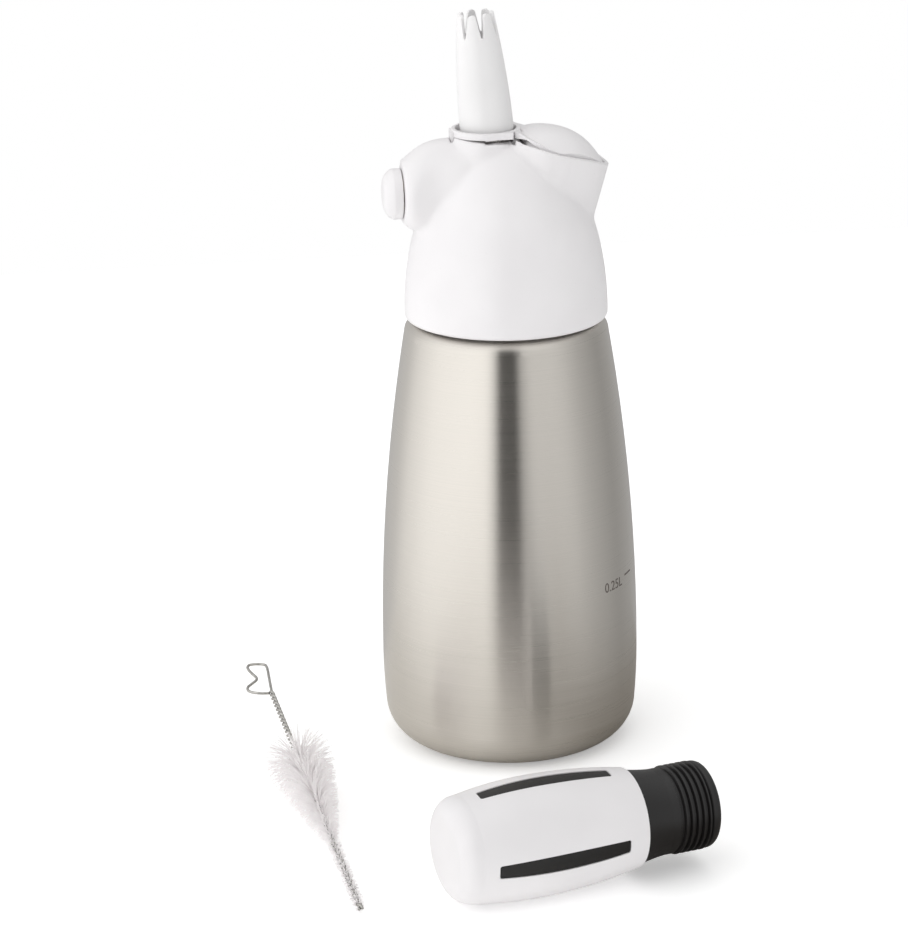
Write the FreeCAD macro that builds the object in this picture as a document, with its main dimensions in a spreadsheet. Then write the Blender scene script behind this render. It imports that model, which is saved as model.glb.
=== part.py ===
import FreeCAD, Part
import math
import os
from types import SimpleNamespace

import Sketcher
from FreeCAD import Placement, Rotation, Vector

# Cream dispenser with a quarter-litre steel bottle, a screw-on head with a lever valve, a toothed nozzle,
# a holder for one 18 mm gas cartridge and a cleaning brush.  Millimetres.  The origin is the centre of the
# bottle's base, +Z is up, the gas port points along -X and the thumb pad of the lever along +X.

DIMENSIONS = {
    # bottle: drawn steel shell with a drawn-in neck
    "bottle_wall": 1.2,
    "stand_recess_radius": 22.5,
    "stand_recess_depth": 1.8,
    "stand_inner_radius": 24.3,
    "stand_outer_radius": 27.3,
    "stand_inset": 0.6,
    "base_round": 12.0,
    "base_corner_radius": 39.26,
    "base_corner_height": 11.0,
    "foot_sweep": 196.0,
    "belly_radius": 40.0,
    "belly_height": 28.0,
    "side_sweep": 619.0,
    "shoulder_radius": 31.36,
    "shoulder_start": 131.4,
    "shoulder_round": 4.2,
    "shoulder_flat_radius": 27.6,
    "shoulder_height": 135.5,
    "neck_radius": 24.0,
    "neck_root_round": 1.4,
    "neck_top": 150.0,
    "neck_lip_round": 1.0,
    # head housing: bell over the shoulder, limb to the gas port, wing under the thumb pad
    "bell_radius": 31.1,
    "bell_centre_height": 138.0,
    "bell_rise": 55.6,
    "bell_foot": 136.2,
    "bell_foot_round": 1.3,
    "collar_wall": 2.3,
    "skirt_groove": 1.9,
    "skirt_groove_top": 148.0,
    "neck_clearance": 0.35,
    "gasket_width": 2.6,
    "gasket_thickness": 1.95,
    "face_gap": 0.05,
    "port_height": 175.5,
    "port_face": 31.4,
    "port_face_lift": 0.7,
    "port_face_radius": 9.4,
    "port_rim_reach": 29.6,
    "port_rim_lift": 0.4,
    "port_rim_radius": 10.9,
    "limb_mid_reach": 26.0,
    "limb_mid_width": 11.1,
    "limb_mid_rise": 13.1,
    "limb_mid_lift": 0.9,
    "limb_root_reach": 19.5,
    "limb_root_width": 12.0,
    "limb_root_rise": 14.1,
    "limb_root_lift": 2.0,
    "saddle_reach": 10.0,
    "saddle_width": 13.0,
    "saddle_rise": 14.4,
    "saddle_lift": 3.4,
    "saddle_end": 4.0,
    "saddle_end_lift": 2.9,
    "oval_taper": 0.05,
    "crest_centre": -5.6,
    "crest_radius": 10.4,
    "crest_depth": 12.9,
    "crest_foot_radius": 13.2,
    "crest_sweep": 30.0,
    # wing under the thumb pad: plan at its foot and, leaning outwards, above its rim
    "wing_wall": 1.3,
    "wing_foot": 165.0,
    "wing_foot_start": -3.0,
    "wing_foot_start_width": 9.0,
    "wing_foot_flank": 6.0,
    "wing_foot_flank_end": 14.0,
    "wing_foot_flank_width": 14.6,
    "wing_foot_shoulder": 22.5,
    "wing_foot_shoulder_width": 9.5,
    "wing_foot_nose_sweep": 12.6,
    "wing_high": 196.0,
    "wing_high_start": 0.6,
    "wing_high_start_width": 9.35,
    "wing_high_flank": 9.6,
    "wing_high_flank_end": 19.4,
    "wing_high_flank_width": 16.5,
    "wing_high_shoulder": 30.2,
    "wing_high_shoulder_width": 11.8,
    "wing_high_nose_sweep": 15.6,
    "wing_start_sweep": 30.0,
    "wing_flank_sweep": 10.8,
    "wing_side_sweep": 30.0,
    "wing_well_floor": 173.6,
    "wing_well_start": 4.5,
    # housing top: a slope that leaves room for the pressed lever, then the rim the thumb pad sinks behind
    "slope_start": -18.0,
    "slope_start_height": 192.9,
    "slope_end_height": 191.0,
    "bridge_floor": 190.5,
    "rim_start": 1.9,
    "rim_start_height": 192.4,
    "rim_bend": 20.8,
    "rim_fall": 5.6,
    "rim_end": 33.0,
    "rim_end_fall": 11.0,
    "rim_end_sweep": 40.0,
    # nozzle axis: leans towards the gas port and crosses the bottle's axis at this height
    "nozzle_tilt": 5.0,
    "axis_crossing": 129.0,
    # valve, measured along the nozzle axis from the crossing
    "bush_foot": 22.6,
    "bush_top": 34.5,
    "bush_radius": 7.6,
    "bush_bore": 3.2,
    "fit_gap": 0.05,
    "chamber_radius": 6.6,
    "chamber_top": 41.0,
    "guide_top": 50.0,
    "running_gap": 0.06,
    "well_radius": 8.0,
    "stem_rod": 1.8,
    "stem_tube": 5.2,
    "stem_bore": 2.5,
    "stem_bore_foot": 37.2,
    "stem_cone_foot": 35.6,
    "stem_cone_top": 37.9,
    "stem_port_radius": 1.3,
    "stem_port_height": 39.5,
    "stem_top": 76.0,
    "stem_flange_top": 63.6,
    "stem_flange": 1.9,
    "stem_flange_radius": 7.0,
    "ring_groove_height": 45.4,
    "ring_section": 0.8,
    "seal_radius": 5.6,
    "seal_thickness": 2.2,
    "nut_radius": 3.4,
    "nut_height": 3.4,
    "spring_wire": 0.5,
    "spring_radius": 6.3,
    "spring_turns": 4.0,
    "spring_runs": 12,
    "spring_sides": 8,
    # nozzle
    "tip_foot": 65.0,
    "tip_foot_radius": 8.45,
    "tip_waist": 78.0,
    "tip_waist_radius": 8.4,
    "tip_side_sweep": 62.0,
    "tip_top": 101.0,
    "tip_top_radius": 5.45,
    "tip_wall": 1.2,
    "tip_thread_top": 76.4,
    "tooth_depth": 8.5,
    "tooth_count": 7,
    "tooth_gap": 1.1,
    "tooth_round": 1.2,
    "tooth_root": 0.5,
    "tooth_root_round": 0.51,
    "tooth_turn": 5.7,
    # lever: ring round the nozzle, bridge and crowned thumb pad
    "lever_gap": 0.5,
    "lever_wall": 1.8,
    "lever_skirt": 1.5,
    "skirt_start_drop": 2.25,
    "ring_radius": 10.5,
    "ring_bore": 9.3,
    "ring_foot": 192.8,
    "ring_top": 194.7,
    "ring_round": 0.4,
    "bridge_start": -1.0,
    "bridge_bend": 2.0,
    "bridge_bend_sweep": 5.0,
    "bridge_fall": 5.0,
    "bridge_fall_height": 193.3,
    "bridge_toe": 9.0,
    "bridge_toe_height": 191.5,
    "bridge_toe_sweep": 40.0,
    "bridge_end": 17.5,
    "bridge_end_height": 188.0,
    "skirt_start": 4.9,
    "crown_axis_height": 170.0,
    "crown_start": 5.2,
    "crown_start_rise": 23.6,
    "crown_start_sweep": 14.5,
    "crown_peak": 10.5,
    "crown_peak_rise": 24.6,
    "crown_peak_sweep": 24.7,
    "crown_brow": 19.5,
    "crown_brow_rise": 22.9,
    "crown_brow_sweep": 17.3,
    "crown_fall": 26.5,
    "crown_fall_rise": 17.86,
    "crown_fall_sweep": 39.0,
    "crown_end": 29.5,
    "crown_end_rise": 13.7,
    "hollow_shift": 0.9,
    "plate_half_width": 10.3,
    "plate_end": 1.2,
    "hinge_x": -15.0,
    "hinge_z": 188.5,
    "hinge_pin_radius": 0.75,
    "hinge_pin_front": 5.6,
    "hinge_pin_length": 12.4,
    "lug_half_width": 3.0,
    "lug_radius": 1.4,
    "lug_gap": 0.4,
    "pusher_half_width": 1.5,
    "pusher_reach": 5.7,
    "pusher_foot": 63.8,
    "pusher_top": 64.7,
    "pusher_travel": 1.1,
    # gas port, measured outwards along -X
    "nipple_radius": 6.2,
    "nipple_end": 35.2,
    "nipple_seat": 31.4,
    "nipple_shank_radius": 5.2,
    "nipple_shank_end": 21.0,
    "nipple_bore": 4.4,
    "nipple_floor": 27.5,
    "port_well": 17.5,
    "pin_radius": 1.1,
    "pin_tip": 33.4,
    "pin_point": 2.2,
    "pin_bore": 0.45,
    "pin_head_radius": 2.4,
    "pin_head": 1.6,
    "valve_disc_radius": 4.1,
    "valve_disc": 2.0,
    "charger_seal_width": 1.7,
    "charger_seal_thickness": 1.6,
    "gas_passage_radius": 1.2,
    "gas_passage_reach": 18.8,
    "cap_radius": 7.7,
    "cap_end_gap": 0.35,
    "cap_foot": 31.75,
    "cap_band_end": 34.2,
    "cap_end": 37.2,
    "cap_end_radius": 3.6,
    "cap_round": 4.8,
    # cartridge holder, lying beside the bottle
    "holder_x": -39.5,
    "holder_y": -129.55,
    "holder_turn": 15.0,
    "holder_length": 81.2,
    "casing_length": 56.8,
    "casing_wall": 1.3,
    "casing_end_radius": 10.0,
    "casing_end_round": 5.6,
    "casing_side_radius": 15.5,
    "casing_side_start": 5.8,
    "casing_belly_radius": 17.4,
    "casing_belly": 28.3,
    "casing_front_sweep": 119.0,
    "casing_mouth_radius": 14.6,
    "casing_back_sweep": 163.0,
    "slot_start": 9.8,
    "slot_end": 50.4,
    "slot_half_width": 2.0,
    "slot_side_sweep": 320.0,
    "slot_count": 4,
    "slot_round": 0.7,
    "slot_turn": 5.0,
    "grip_gap": 0.15,
    "grip_depth": 0.25,
    "core_gap": 0.1,
    "core_neck_radius": 12.5,
    "core_root_radius": 13.9,
    "core_root_sweep": 60.0,
    "core_neck_start": 65.5,
    "rib_start": 68.3,
    "rib_pitch": 1.9,
    "rib_count": 5,
    "rib_radius": 12.9,
    "rib_valley": 12.0,
    "rib_width": 1.2,
    "rib_flank": 0.36,
    "neck_fade": 0.3,
    "lip_radius": 12.7,
    "lip_round": 2.2,
    "lip_band": 0.6,
    "lip_face_radius": 10.6,
    "cartridge_bore": 9.3,
    "cartridge_depth": 6.5,
    "mouth_bore": 10.2,
    "mouth_depth": 10.0,
    # cleaning brush, lying on its bristles
    "brush_x": -63.4,
    "brush_y": -129.1,
    "brush_z": 1.75,
    "brush_turn": 5.0,
    "brush_rise": 5.2,
    "brush_wire": 0.6,
    "brush_stem_radius": 1.1,
    "brush_stem_top": 138.0,
    "tail_radius": 1.7,
    "fan_foot": 40.0,
    "fan_foot_radius": 2.6,
    "fan_shoulder": 92.0,
    "fan_radius": 11.4,
    "fan_top": 106.0,
    "fan_top_radius": 8.6,
    "floor_gap": 0.02,
    "loop_length": 22.0,
    "loop_width": 8.8,
}

doc = FreeCAD.newDocument("cream_dispenser")
sheet = doc.addObject("Spreadsheet::Sheet", "dimensions")
for row, (alias, number) in enumerate(DIMENSIONS.items(), start=1):
    sheet.set(f"A{row}", alias)
    sheet.set(f"B{row}", str(number))
    sheet.setAlias(f"B{row}", alias)
doc.recompute()


class Size:
    """A length from the sheet, or sums of such lengths: a number and the expression that gives it."""

    def __init__(self, number, text):
        self.number = float(number)
        self.text = text

    def __add__(self, other):
        other = as_size(other)
        return Size(self.number + other.number, f"({self.text} + {other.text})")

    def __sub__(self, other):
        other = as_size(other)
        return Size(self.number - other.number, f"({self.text} - {other.text})")

    def __mul__(self, factor):
        return Size(self.number * factor, f"({self.text} * {factor})")

    def __neg__(self):
        return self * -1

    def __radd__(self, other):
        return self + other

    def __rsub__(self, other):
        return as_size(other) - self


def as_size(value):
    return value if isinstance(value, Size) else Size(value, str(value))


dim = SimpleNamespace(**{
    alias: Size(number, f"dimensions.{alias}") for alias, number in DIMENSIONS.items()
})

LEFT = 1
RIGHT = -1
FULL_TURN = 360
QUARTER_TURN = 90
MITRED = 1
LEVEL_AXIS = -1
UPRIGHT_AXIS = -2
SKETCH_ORIGIN = (-1, 1)


def arc_between(start, end, radius, turn):
    """The shorter arc from start to end that turns left or right, and which of its ends is the start.

    The sketcher calls a side's first end 1 and its second end 2, and its arcs run anticlockwise.
    """
    chord = end - start
    side = Vector(-chord.y, chord.x, 0) * (turn / chord.Length)
    half = chord.Length / 2
    centre = start + chord / 2 + side * math.sqrt(radius ** 2 - half ** 2)
    circle = Part.Circle(centre, Vector(0, 0, 1), radius)
    from_start = math.atan2(start.y - centre.y, start.x - centre.x)
    from_end = math.atan2(end.y - centre.y, end.x - centre.x)
    if turn == LEFT:
        return Part.ArcOfCircle(circle, from_start, from_end), 1
    return Part.ArcOfCircle(circle, from_end, from_start), 2


def add_bound(sketch, size, kind, *references):
    """A dimension of the sketch, bound to the sheet."""
    index = sketch.addConstraint(Sketcher.Constraint(kind, *references, size.number))
    sketch.setExpression(f"Constraints[{index}]", size.text)


def outline(sketch, corners):
    """A closed outline.  A corner is (across, up), or (across, up, radius, turn) before an arc."""
    points = [Vector(as_size(corner[0]).number, as_size(corner[1]).number, 0) for corner in corners]
    first = sketch.GeometryCount
    start_ends = []
    for index, corner in enumerate(corners):
        end = points[(index + 1) % len(points)]
        if len(corner) == 4:
            side, start_end = arc_between(points[index], end, as_size(corner[2]).number, corner[3])
        else:
            side, start_end = Part.LineSegment(points[index], end), 1
        sketch.addGeometry(side, False)
        start_ends.append(start_end)
    for index, corner in enumerate(corners):
        here = first + index
        after = (index + 1) % len(corners)
        other_end = 3 - start_ends[index]
        joint = (here, other_end, first + after, start_ends[after])
        sketch.addConstraint(Sketcher.Constraint("Coincident", *joint))
        for axis, kind, value in ((UPRIGHT_AXIS, "DistanceX", corner[0]),
                                  (LEVEL_AXIS, "DistanceY", corner[1])):
            if as_size(value).text == "0":
                sketch.addConstraint(Sketcher.Constraint("PointOnObject", here, start_ends[index], axis))
            else:
                add_bound(sketch, as_size(value), kind, *SKETCH_ORIGIN, here, start_ends[index])
        if len(corner) == 4:
            add_bound(sketch, as_size(corner[2]), "Radius", here)


def new_sketch(body, role, corners, lift=None):
    """A sketch on one of the body's own planes, raised off it by lift."""
    plane = next(item for item in body.Origin.OriginFeatures if item.Role == role)
    sketch = body.newObject("Sketcher::SketchObject", f"{body.Name}_outline")
    sketch.AttachmentSupport = [(plane, "")]
    sketch.MapMode = "FlatFace"
    if lift is not None:
        sketch.setExpression("AttachmentOffset.Base.z", lift.text)
    outline(sketch, corners)
    return sketch


def new_body(name):
    body = doc.addObject("PartDesign::Body", name)
    body.Label = name
    return body


def finish(body, feature):
    body.Tip = feature
    doc.recompute()
    return body


def turned(name, corners, placement=Placement()):
    """A body turned about its own Z from an outline of (radius, height) corners."""
    body = new_body(name)
    feature = body.newObject("PartDesign::Revolution", f"{name}_turning")
    sketch = new_sketch(body, "XZ_Plane", corners)
    feature.Profile = sketch
    feature.ReferenceAxis = (sketch, ["V_Axis"])
    feature.Angle = FULL_TURN
    body.Placement = placement
    return finish(body, feature)


def primitive(kind, name, placement=Placement(), **sizes):
    """A Part primitive whose sizes are bound to the sheet."""
    item = doc.addObject(f"Part::{kind}", name)
    for prop, size in sizes.items():
        item.setExpression(prop, as_size(size).text)
    item.Placement = placement
    return item


def cylinder(name, radius, height, placement=Placement()):
    return primitive("Cylinder", name, placement, Radius=radius, Height=height)


def fuse(name, *items):
    joined = doc.addObject("Part::MultiFuse", name)
    joined.Shapes = list(items)
    joined.Label = name
    return joined


def cut(name, base, *tools):
    result = doc.addObject("Part::Cut", name)
    result.Base = base
    result.Tool = tools[0] if len(tools) == 1 else fuse(f"{name}_cutters", *tools)
    result.Label = name
    return result


def common(name, first, second):
    result = doc.addObject("Part::MultiCommon", name)
    result.Shapes = [first, second]
    result.Label = name
    return result


def at(x, y, z, rotation=Rotation()):
    return Placement(Vector(*(as_size(value).number for value in (x, y, z))), rotation)


# Frames: along the nozzle axis, outwards through the gas port, along the holder and along the brush.
TILT = Rotation(Vector(0, 1, 0), -dim.nozzle_tilt.number)
NOZZLE = at(0, 0, dim.axis_crossing, TILT)
OUTWARDS = at(0, 0, dim.port_height, Rotation(Vector(0, 1, 0), -QUARTER_TURN))


def up_nozzle(height):
    """A place on the nozzle axis, this far above the crossing."""
    return NOZZLE.multiply(at(0, 0, height))


def out_of_port(reach):
    """A place on the port's axis, this far from the bottle's axis."""
    return OUTWARDS.multiply(at(0, 0, reach))


nodes = []


def keep(name, item):
    item.Label = name
    nodes.append(item)
    return item


# ---------------------------------------------------------------- bottle
def bottle():
    wall = dim.bottle_wall
    outside = [
        (0, dim.stand_recess_depth),
        (dim.stand_recess_radius, dim.stand_recess_depth),
        (dim.stand_inner_radius, 0),
        (dim.stand_outer_radius, 0, dim.base_round, LEFT),
        (dim.base_corner_radius, dim.base_corner_height, dim.foot_sweep, LEFT),
        (dim.belly_radius, dim.belly_height, dim.side_sweep, LEFT),
        (dim.shoulder_radius, dim.shoulder_start, dim.shoulder_round, LEFT),
        (dim.shoulder_flat_radius, dim.shoulder_height),
        (dim.neck_radius + dim.neck_root_round, dim.shoulder_height, dim.neck_root_round, RIGHT),
        (dim.neck_radius, dim.shoulder_height + dim.neck_root_round),
        (dim.neck_radius, dim.neck_top - dim.neck_lip_round, dim.neck_lip_round, LEFT),
        (dim.neck_radius - dim.neck_lip_round, dim.neck_top),
    ]
    inside = [
        (dim.neck_radius - wall, dim.neck_top),
        (dim.neck_radius - wall, dim.shoulder_height - wall),
        (dim.shoulder_flat_radius, dim.shoulder_height - wall, dim.shoulder_round - wall, RIGHT),
        (dim.shoulder_radius - wall, dim.shoulder_start, dim.side_sweep - wall, RIGHT),
        (dim.belly_radius - wall, dim.belly_height, dim.foot_sweep - wall, RIGHT),
        (dim.base_corner_radius - wall, dim.base_corner_height, dim.base_round - wall, RIGHT),
        (dim.stand_outer_radius, wall),
        (dim.stand_inner_radius + dim.stand_inset, wall),
        (dim.stand_recess_radius + dim.stand_inset, dim.stand_recess_depth + wall),
        (0, dim.stand_recess_depth + wall),
    ]
    return turned("bottle", outside + inside)


keep("bottle", bottle())


# ---------------------------------------------------------------- head housing
def bell():
    """The dome, with a short straight foot that is rounded at its edge."""
    foot = [
        (0, dim.bell_foot),
        (dim.bell_radius - dim.bell_foot_round, dim.bell_foot, dim.bell_foot_round, LEFT),
        (dim.bell_radius, dim.bell_foot + dim.bell_foot_round),
        (dim.bell_radius, dim.bell_centre_height),
        (0, dim.bell_centre_height),
    ]
    dome = primitive("Ellipsoid", "bell_dome", at(0, 0, dim.bell_centre_height),
                     Radius1=dim.bell_rise, Radius2=dim.bell_radius, Radius3=dim.bell_radius)
    dome.Angle1 = 0
    return [turned("bell_foot_ring", foot), dome]


def limb():
    """The arm to the gas port: upright ovals that grow from the nearly round port face into the saddle."""
    stations = [
        (dim.port_face, dim.port_face_lift, dim.port_face_radius, dim.port_face_radius - dim.oval_taper),
        (dim.port_rim_reach, dim.port_rim_lift, dim.port_rim_radius, dim.port_rim_radius - dim.oval_taper),
        (dim.limb_mid_reach, dim.limb_mid_lift, dim.limb_mid_rise, dim.limb_mid_width),
        (dim.limb_root_reach, dim.limb_root_lift, dim.limb_root_rise, dim.limb_root_width),
        (dim.saddle_reach, dim.saddle_lift, dim.saddle_rise, dim.saddle_width),
        (-dim.saddle_end, dim.saddle_end_lift, dim.saddle_rise, dim.saddle_width - dim.oval_taper),
    ]
    upright = Rotation(Vector(0, 0, 1), Vector(0, 1, 0), Vector(-1, 0, 0), "XYZ")
    sections = []
    for number, (reach, lift, rise, width) in enumerate(stations):
        place = at(-reach, 0, dim.port_height + lift, upright)
        sections.append(primitive("Ellipse", f"limb_station_{number}", place,
                                  MajorRadius=rise, MinorRadius=width))
    arm = doc.addObject("Part::Loft", "limb_loft")
    arm.Sections = sections
    arm.Solid = True
    crest = turned("limb_crest", [
        (0, crest_foot),
        (dim.crest_foot_radius, crest_foot, dim.crest_sweep, LEFT),
        (dim.crest_radius, dim.slope_start_height),
        (0, dim.slope_start_height),
    ], at(dim.crest_centre, 0, 0))
    return [arm, crest]


def wing_plan(name, height, start, start_width, flank, flank_end, flank_width, shoulder, shoulder_width,
              nose_sweep):
    """The wing's plan at one height: flanks that spread from the ring, bowed sides and a round nose."""
    return level_outline(name, height, [
        (start, -start_width, dim.wing_start_sweep, LEFT),
        (flank, -flank_width, dim.wing_flank_sweep, LEFT),
        (flank_end, -flank_width, dim.wing_side_sweep, LEFT),
        (shoulder, -shoulder_width, nose_sweep, LEFT),
        (shoulder, shoulder_width, dim.wing_side_sweep, LEFT),
        (flank_end, flank_width, dim.wing_flank_sweep, LEFT),
        (flank, flank_width, dim.wing_start_sweep, LEFT),
        (start, start_width),
    ])


def level_outline(name, height, corners):
    sketch = doc.addObject("Sketcher::SketchObject", name)
    sketch.Placement = at(0, 0, height)
    outline(sketch, corners)
    return sketch


def upright_outline(name, corners):
    sketch = doc.addObject("Sketcher::SketchObject", name)
    sketch.Placement = at(0, 0, 0, Rotation(Vector(1, 0, 0), QUARTER_TURN))
    outline(sketch, corners)
    return sketch


def drawn_in(name, sketch, inset):
    """The sketch's outline moved inwards by inset."""
    offset = doc.addObject("Part::Offset2D", name)
    offset.Source = sketch
    offset.setExpression("Value", (-inset).text)
    return offset


def wing_solid(name, inset=None):
    """The wing's outside, or a body inside it that stays this far from its surface."""
    plans = []
    for number, plan in enumerate(wing_plans):
        plans.append(plan if inset is None else drawn_in(f"{name}_plan_{number}", plan, inset))
    body = doc.addObject("Part::Loft", name)
    body.Sections = plans
    body.Solid = True
    body.Ruled = True
    return body


def box_between(name, low, high, placement=Placement()):
    """A box from its low corner to its high one."""
    length, width, height = [as_size(end) - start for start, end in zip(low, high)]
    return primitive("Box", name, placement.multiply(at(*low)), Length=length, Width=width, Height=height)


def across_outline(name, sketch, half_width):
    """A body of constant section in the XZ plane, as wide to both sides of it."""
    body = doc.addObject("Part::Extrusion", name)
    body.Base = sketch
    body.DirMode = "Custom"
    body.Dir = Vector(0, 1, 0)
    body.Symmetric = True
    body.setExpression("LengthFwd", (half_width * 2).text)
    body.Solid = True
    return body


wing_plans = [
    wing_plan("wing_foot_plan", dim.wing_foot, dim.wing_foot_start, dim.wing_foot_start_width,
              dim.wing_foot_flank, dim.wing_foot_flank_end, dim.wing_foot_flank_width,
              dim.wing_foot_shoulder, dim.wing_foot_shoulder_width, dim.wing_foot_nose_sweep),
    wing_plan("wing_high_plan", dim.wing_high, dim.wing_high_start, dim.wing_high_start_width,
              dim.wing_high_flank, dim.wing_high_flank_end, dim.wing_high_flank_width,
              dim.wing_high_shoulder, dim.wing_high_shoulder_width, dim.wing_high_nose_sweep),
]
wide = dim.bell_radius
sky = dim.wing_high + dim.ring_radius
crest_foot = dim.slope_start_height - dim.crest_depth
rim_bend_height = dim.rim_start_height - dim.rim_fall
rim_end_height = dim.rim_start_height - dim.rim_end_fall


def above_rim():
    """Room over the housing: the slope under the ring, a step up, then the rim down to the wing's nose."""
    corners = [
        (dim.slope_start, dim.slope_start_height),
        (dim.rim_start, dim.slope_end_height),
        (dim.rim_start, dim.rim_start_height),
        (dim.rim_bend, rim_bend_height, dim.rim_end_sweep, RIGHT),
        (dim.rim_end, rim_end_height),
        (dim.rim_end + dim.ring_radius, rim_end_height),
        (dim.rim_end + dim.ring_radius, sky),
        (dim.slope_start, sky),
    ]
    return across_outline("above_rim", upright_outline("above_rim_outline", corners), wide)


def head_housing():
    outside = cut("housing_outside", fuse("housing_blank", *bell(), *limb(), wing_solid("wing_outside")),
                  above_rim())
    neck_bore = dim.neck_radius + dim.neck_clearance
    socket_top = dim.neck_top + dim.gasket_thickness + dim.face_gap
    below = dim.bell_foot - dim.bell_foot_round
    socket = cylinder("neck_socket", neck_bore, socket_top - below, at(0, 0, below))
    groove_wall = neck_bore + dim.collar_wall
    groove_rise = dim.skirt_groove_top - below
    groove = cut("skirt_groove_ring",
                 cylinder("skirt_groove_outside", groove_wall + dim.skirt_groove, groove_rise,
                          at(0, 0, below)),
                 cylinder("skirt_groove_inside", groove_wall, groove_rise, at(0, 0, below)))
    valve_bores = [
        cylinder("bush_bore_cut", dim.bush_radius + dim.fit_gap, dim.bush_top + dim.fit_gap, up_nozzle(0)),
        cylinder("chamber_cut", dim.chamber_radius, dim.chamber_top - dim.bush_foot,
                 up_nozzle(dim.bush_foot)),
        cylinder("guide_cut", dim.stem_tube + dim.running_gap, dim.guide_top - dim.bush_foot,
                 up_nozzle(dim.bush_foot)),
        cylinder("spring_well_cut", dim.well_radius, dim.tip_foot - dim.guide_top,
                 up_nozzle(dim.guide_top)),
        cylinder("tip_room_cut", dim.tip_foot_radius + dim.lug_gap, dim.tip_foot - dim.guide_top,
                 up_nozzle(dim.pusher_foot - dim.pusher_travel)),
    ]
    passage_foot = socket_top - dim.bell_foot_round
    port_bores = [
        cylinder("nipple_seat_cut", dim.nipple_shank_radius + dim.fit_gap,
                 dim.port_face - dim.port_well + dim.face_gap, out_of_port(dim.port_well)),
        cylinder("gas_passage_cut", dim.gas_passage_radius, dim.port_height - passage_foot,
                 at(-dim.gas_passage_reach, 0, passage_foot)),
    ]
    lug_room = dim.lug_radius + dim.lug_gap
    lug_side = dim.lug_half_width + dim.lug_gap
    lug_slot = box_between("lug_slot", (dim.hinge_x - lug_room, -lug_side, dim.hinge_z - lug_room),
                           (dim.hinge_x + lug_room, lug_side, sky))
    pin_hole = cylinder("hinge_pin_hole", dim.hinge_pin_radius + dim.fit_gap, wide,
                        on_hinge(dim.fit_gap))
    pusher_side = dim.pusher_half_width + dim.lug_gap
    pushed = dim.pusher_foot - dim.pusher_travel
    pusher_notch = box_between("pusher_notch", (-pusher_side, -dim.ring_radius, pushed),
                               (pusher_side, dim.ring_radius, dim.tip_top), NOZZLE)
    well_room = box_between("wing_well_room", (dim.wing_well_start, -wide, dim.wing_well_floor),
                            (dim.rim_end + wide, wide, sky))
    well = common("wing_well", wing_solid("wing_inside", dim.wing_wall), well_room)
    bridge_box = box_between("bridge_room_box", (dim.bridge_start, -wide, dim.bridge_floor),
                             (dim.wing_well_start + dim.wing_wall, wide, sky))
    bridge = common("bridge_room", wing_solid("bridge_inside", dim.wing_wall), bridge_box)
    return cut("head_housing", outside, socket, groove, *valve_bores,
               *port_bores, lug_slot, pin_hole, pusher_notch, well, bridge)


def on_hinge(past_front):
    """The front end of the hinge pin, or a point this far in front of it, looking along the pin."""
    along_pin = Rotation(Vector(1, 0, 0), -QUARTER_TURN)
    return at(dim.hinge_x, -dim.hinge_pin_front - past_front, dim.hinge_z, along_pin)


keep("head_housing", head_housing())

gasket_foot = dim.neck_top + dim.face_gap
keep("head_gasket", turned("head_gasket", [
    (dim.neck_radius - dim.gasket_width, gasket_foot),
    (dim.neck_radius, gasket_foot),
    (dim.neck_radius, dim.neck_top + dim.gasket_thickness),
    (dim.neck_radius - dim.gasket_width, dim.neck_top + dim.gasket_thickness),
]))


# ---------------------------------------------------------------- gas port
def port_nipple():
    """Screwed-in nipple: a shank in the housing, then a threaded spout that seats the cartridge's neck."""
    return turned("port_nipple", [
        (dim.pin_radius + dim.fit_gap, dim.nipple_shank_end + dim.valve_disc + dim.pin_head),
        (dim.pin_head_radius + dim.fit_gap, dim.nipple_shank_end + dim.valve_disc + dim.pin_head),
        (dim.pin_head_radius + dim.fit_gap, dim.nipple_shank_end + dim.valve_disc),
        (dim.nipple_shank_radius, dim.nipple_shank_end + dim.valve_disc),
        (dim.nipple_shank_radius, dim.nipple_seat + dim.face_gap),
        (dim.nipple_radius, dim.nipple_seat + dim.face_gap),
        (dim.nipple_radius, dim.nipple_end),
        (dim.nipple_bore, dim.nipple_end),
        (dim.nipple_bore, dim.nipple_floor),
        (dim.pin_radius + dim.fit_gap, dim.nipple_floor),
    ], OUTWARDS)


def piercing_pin():
    """Hollow steel needle with a headed tail, its point inside the nipple's mouth."""
    tail = dim.nipple_shank_end + dim.valve_disc + dim.face_gap
    return turned("piercing_pin", [
        (dim.pin_bore, tail),
        (dim.pin_head_radius, tail),
        (dim.pin_head_radius, tail + dim.pin_head - dim.face_gap * 2),
        (dim.pin_radius, tail + dim.pin_head - dim.face_gap * 2),
        (dim.pin_radius, dim.pin_tip - dim.pin_point),
        (dim.pin_bore, dim.pin_tip),
    ], OUTWARDS)


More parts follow.
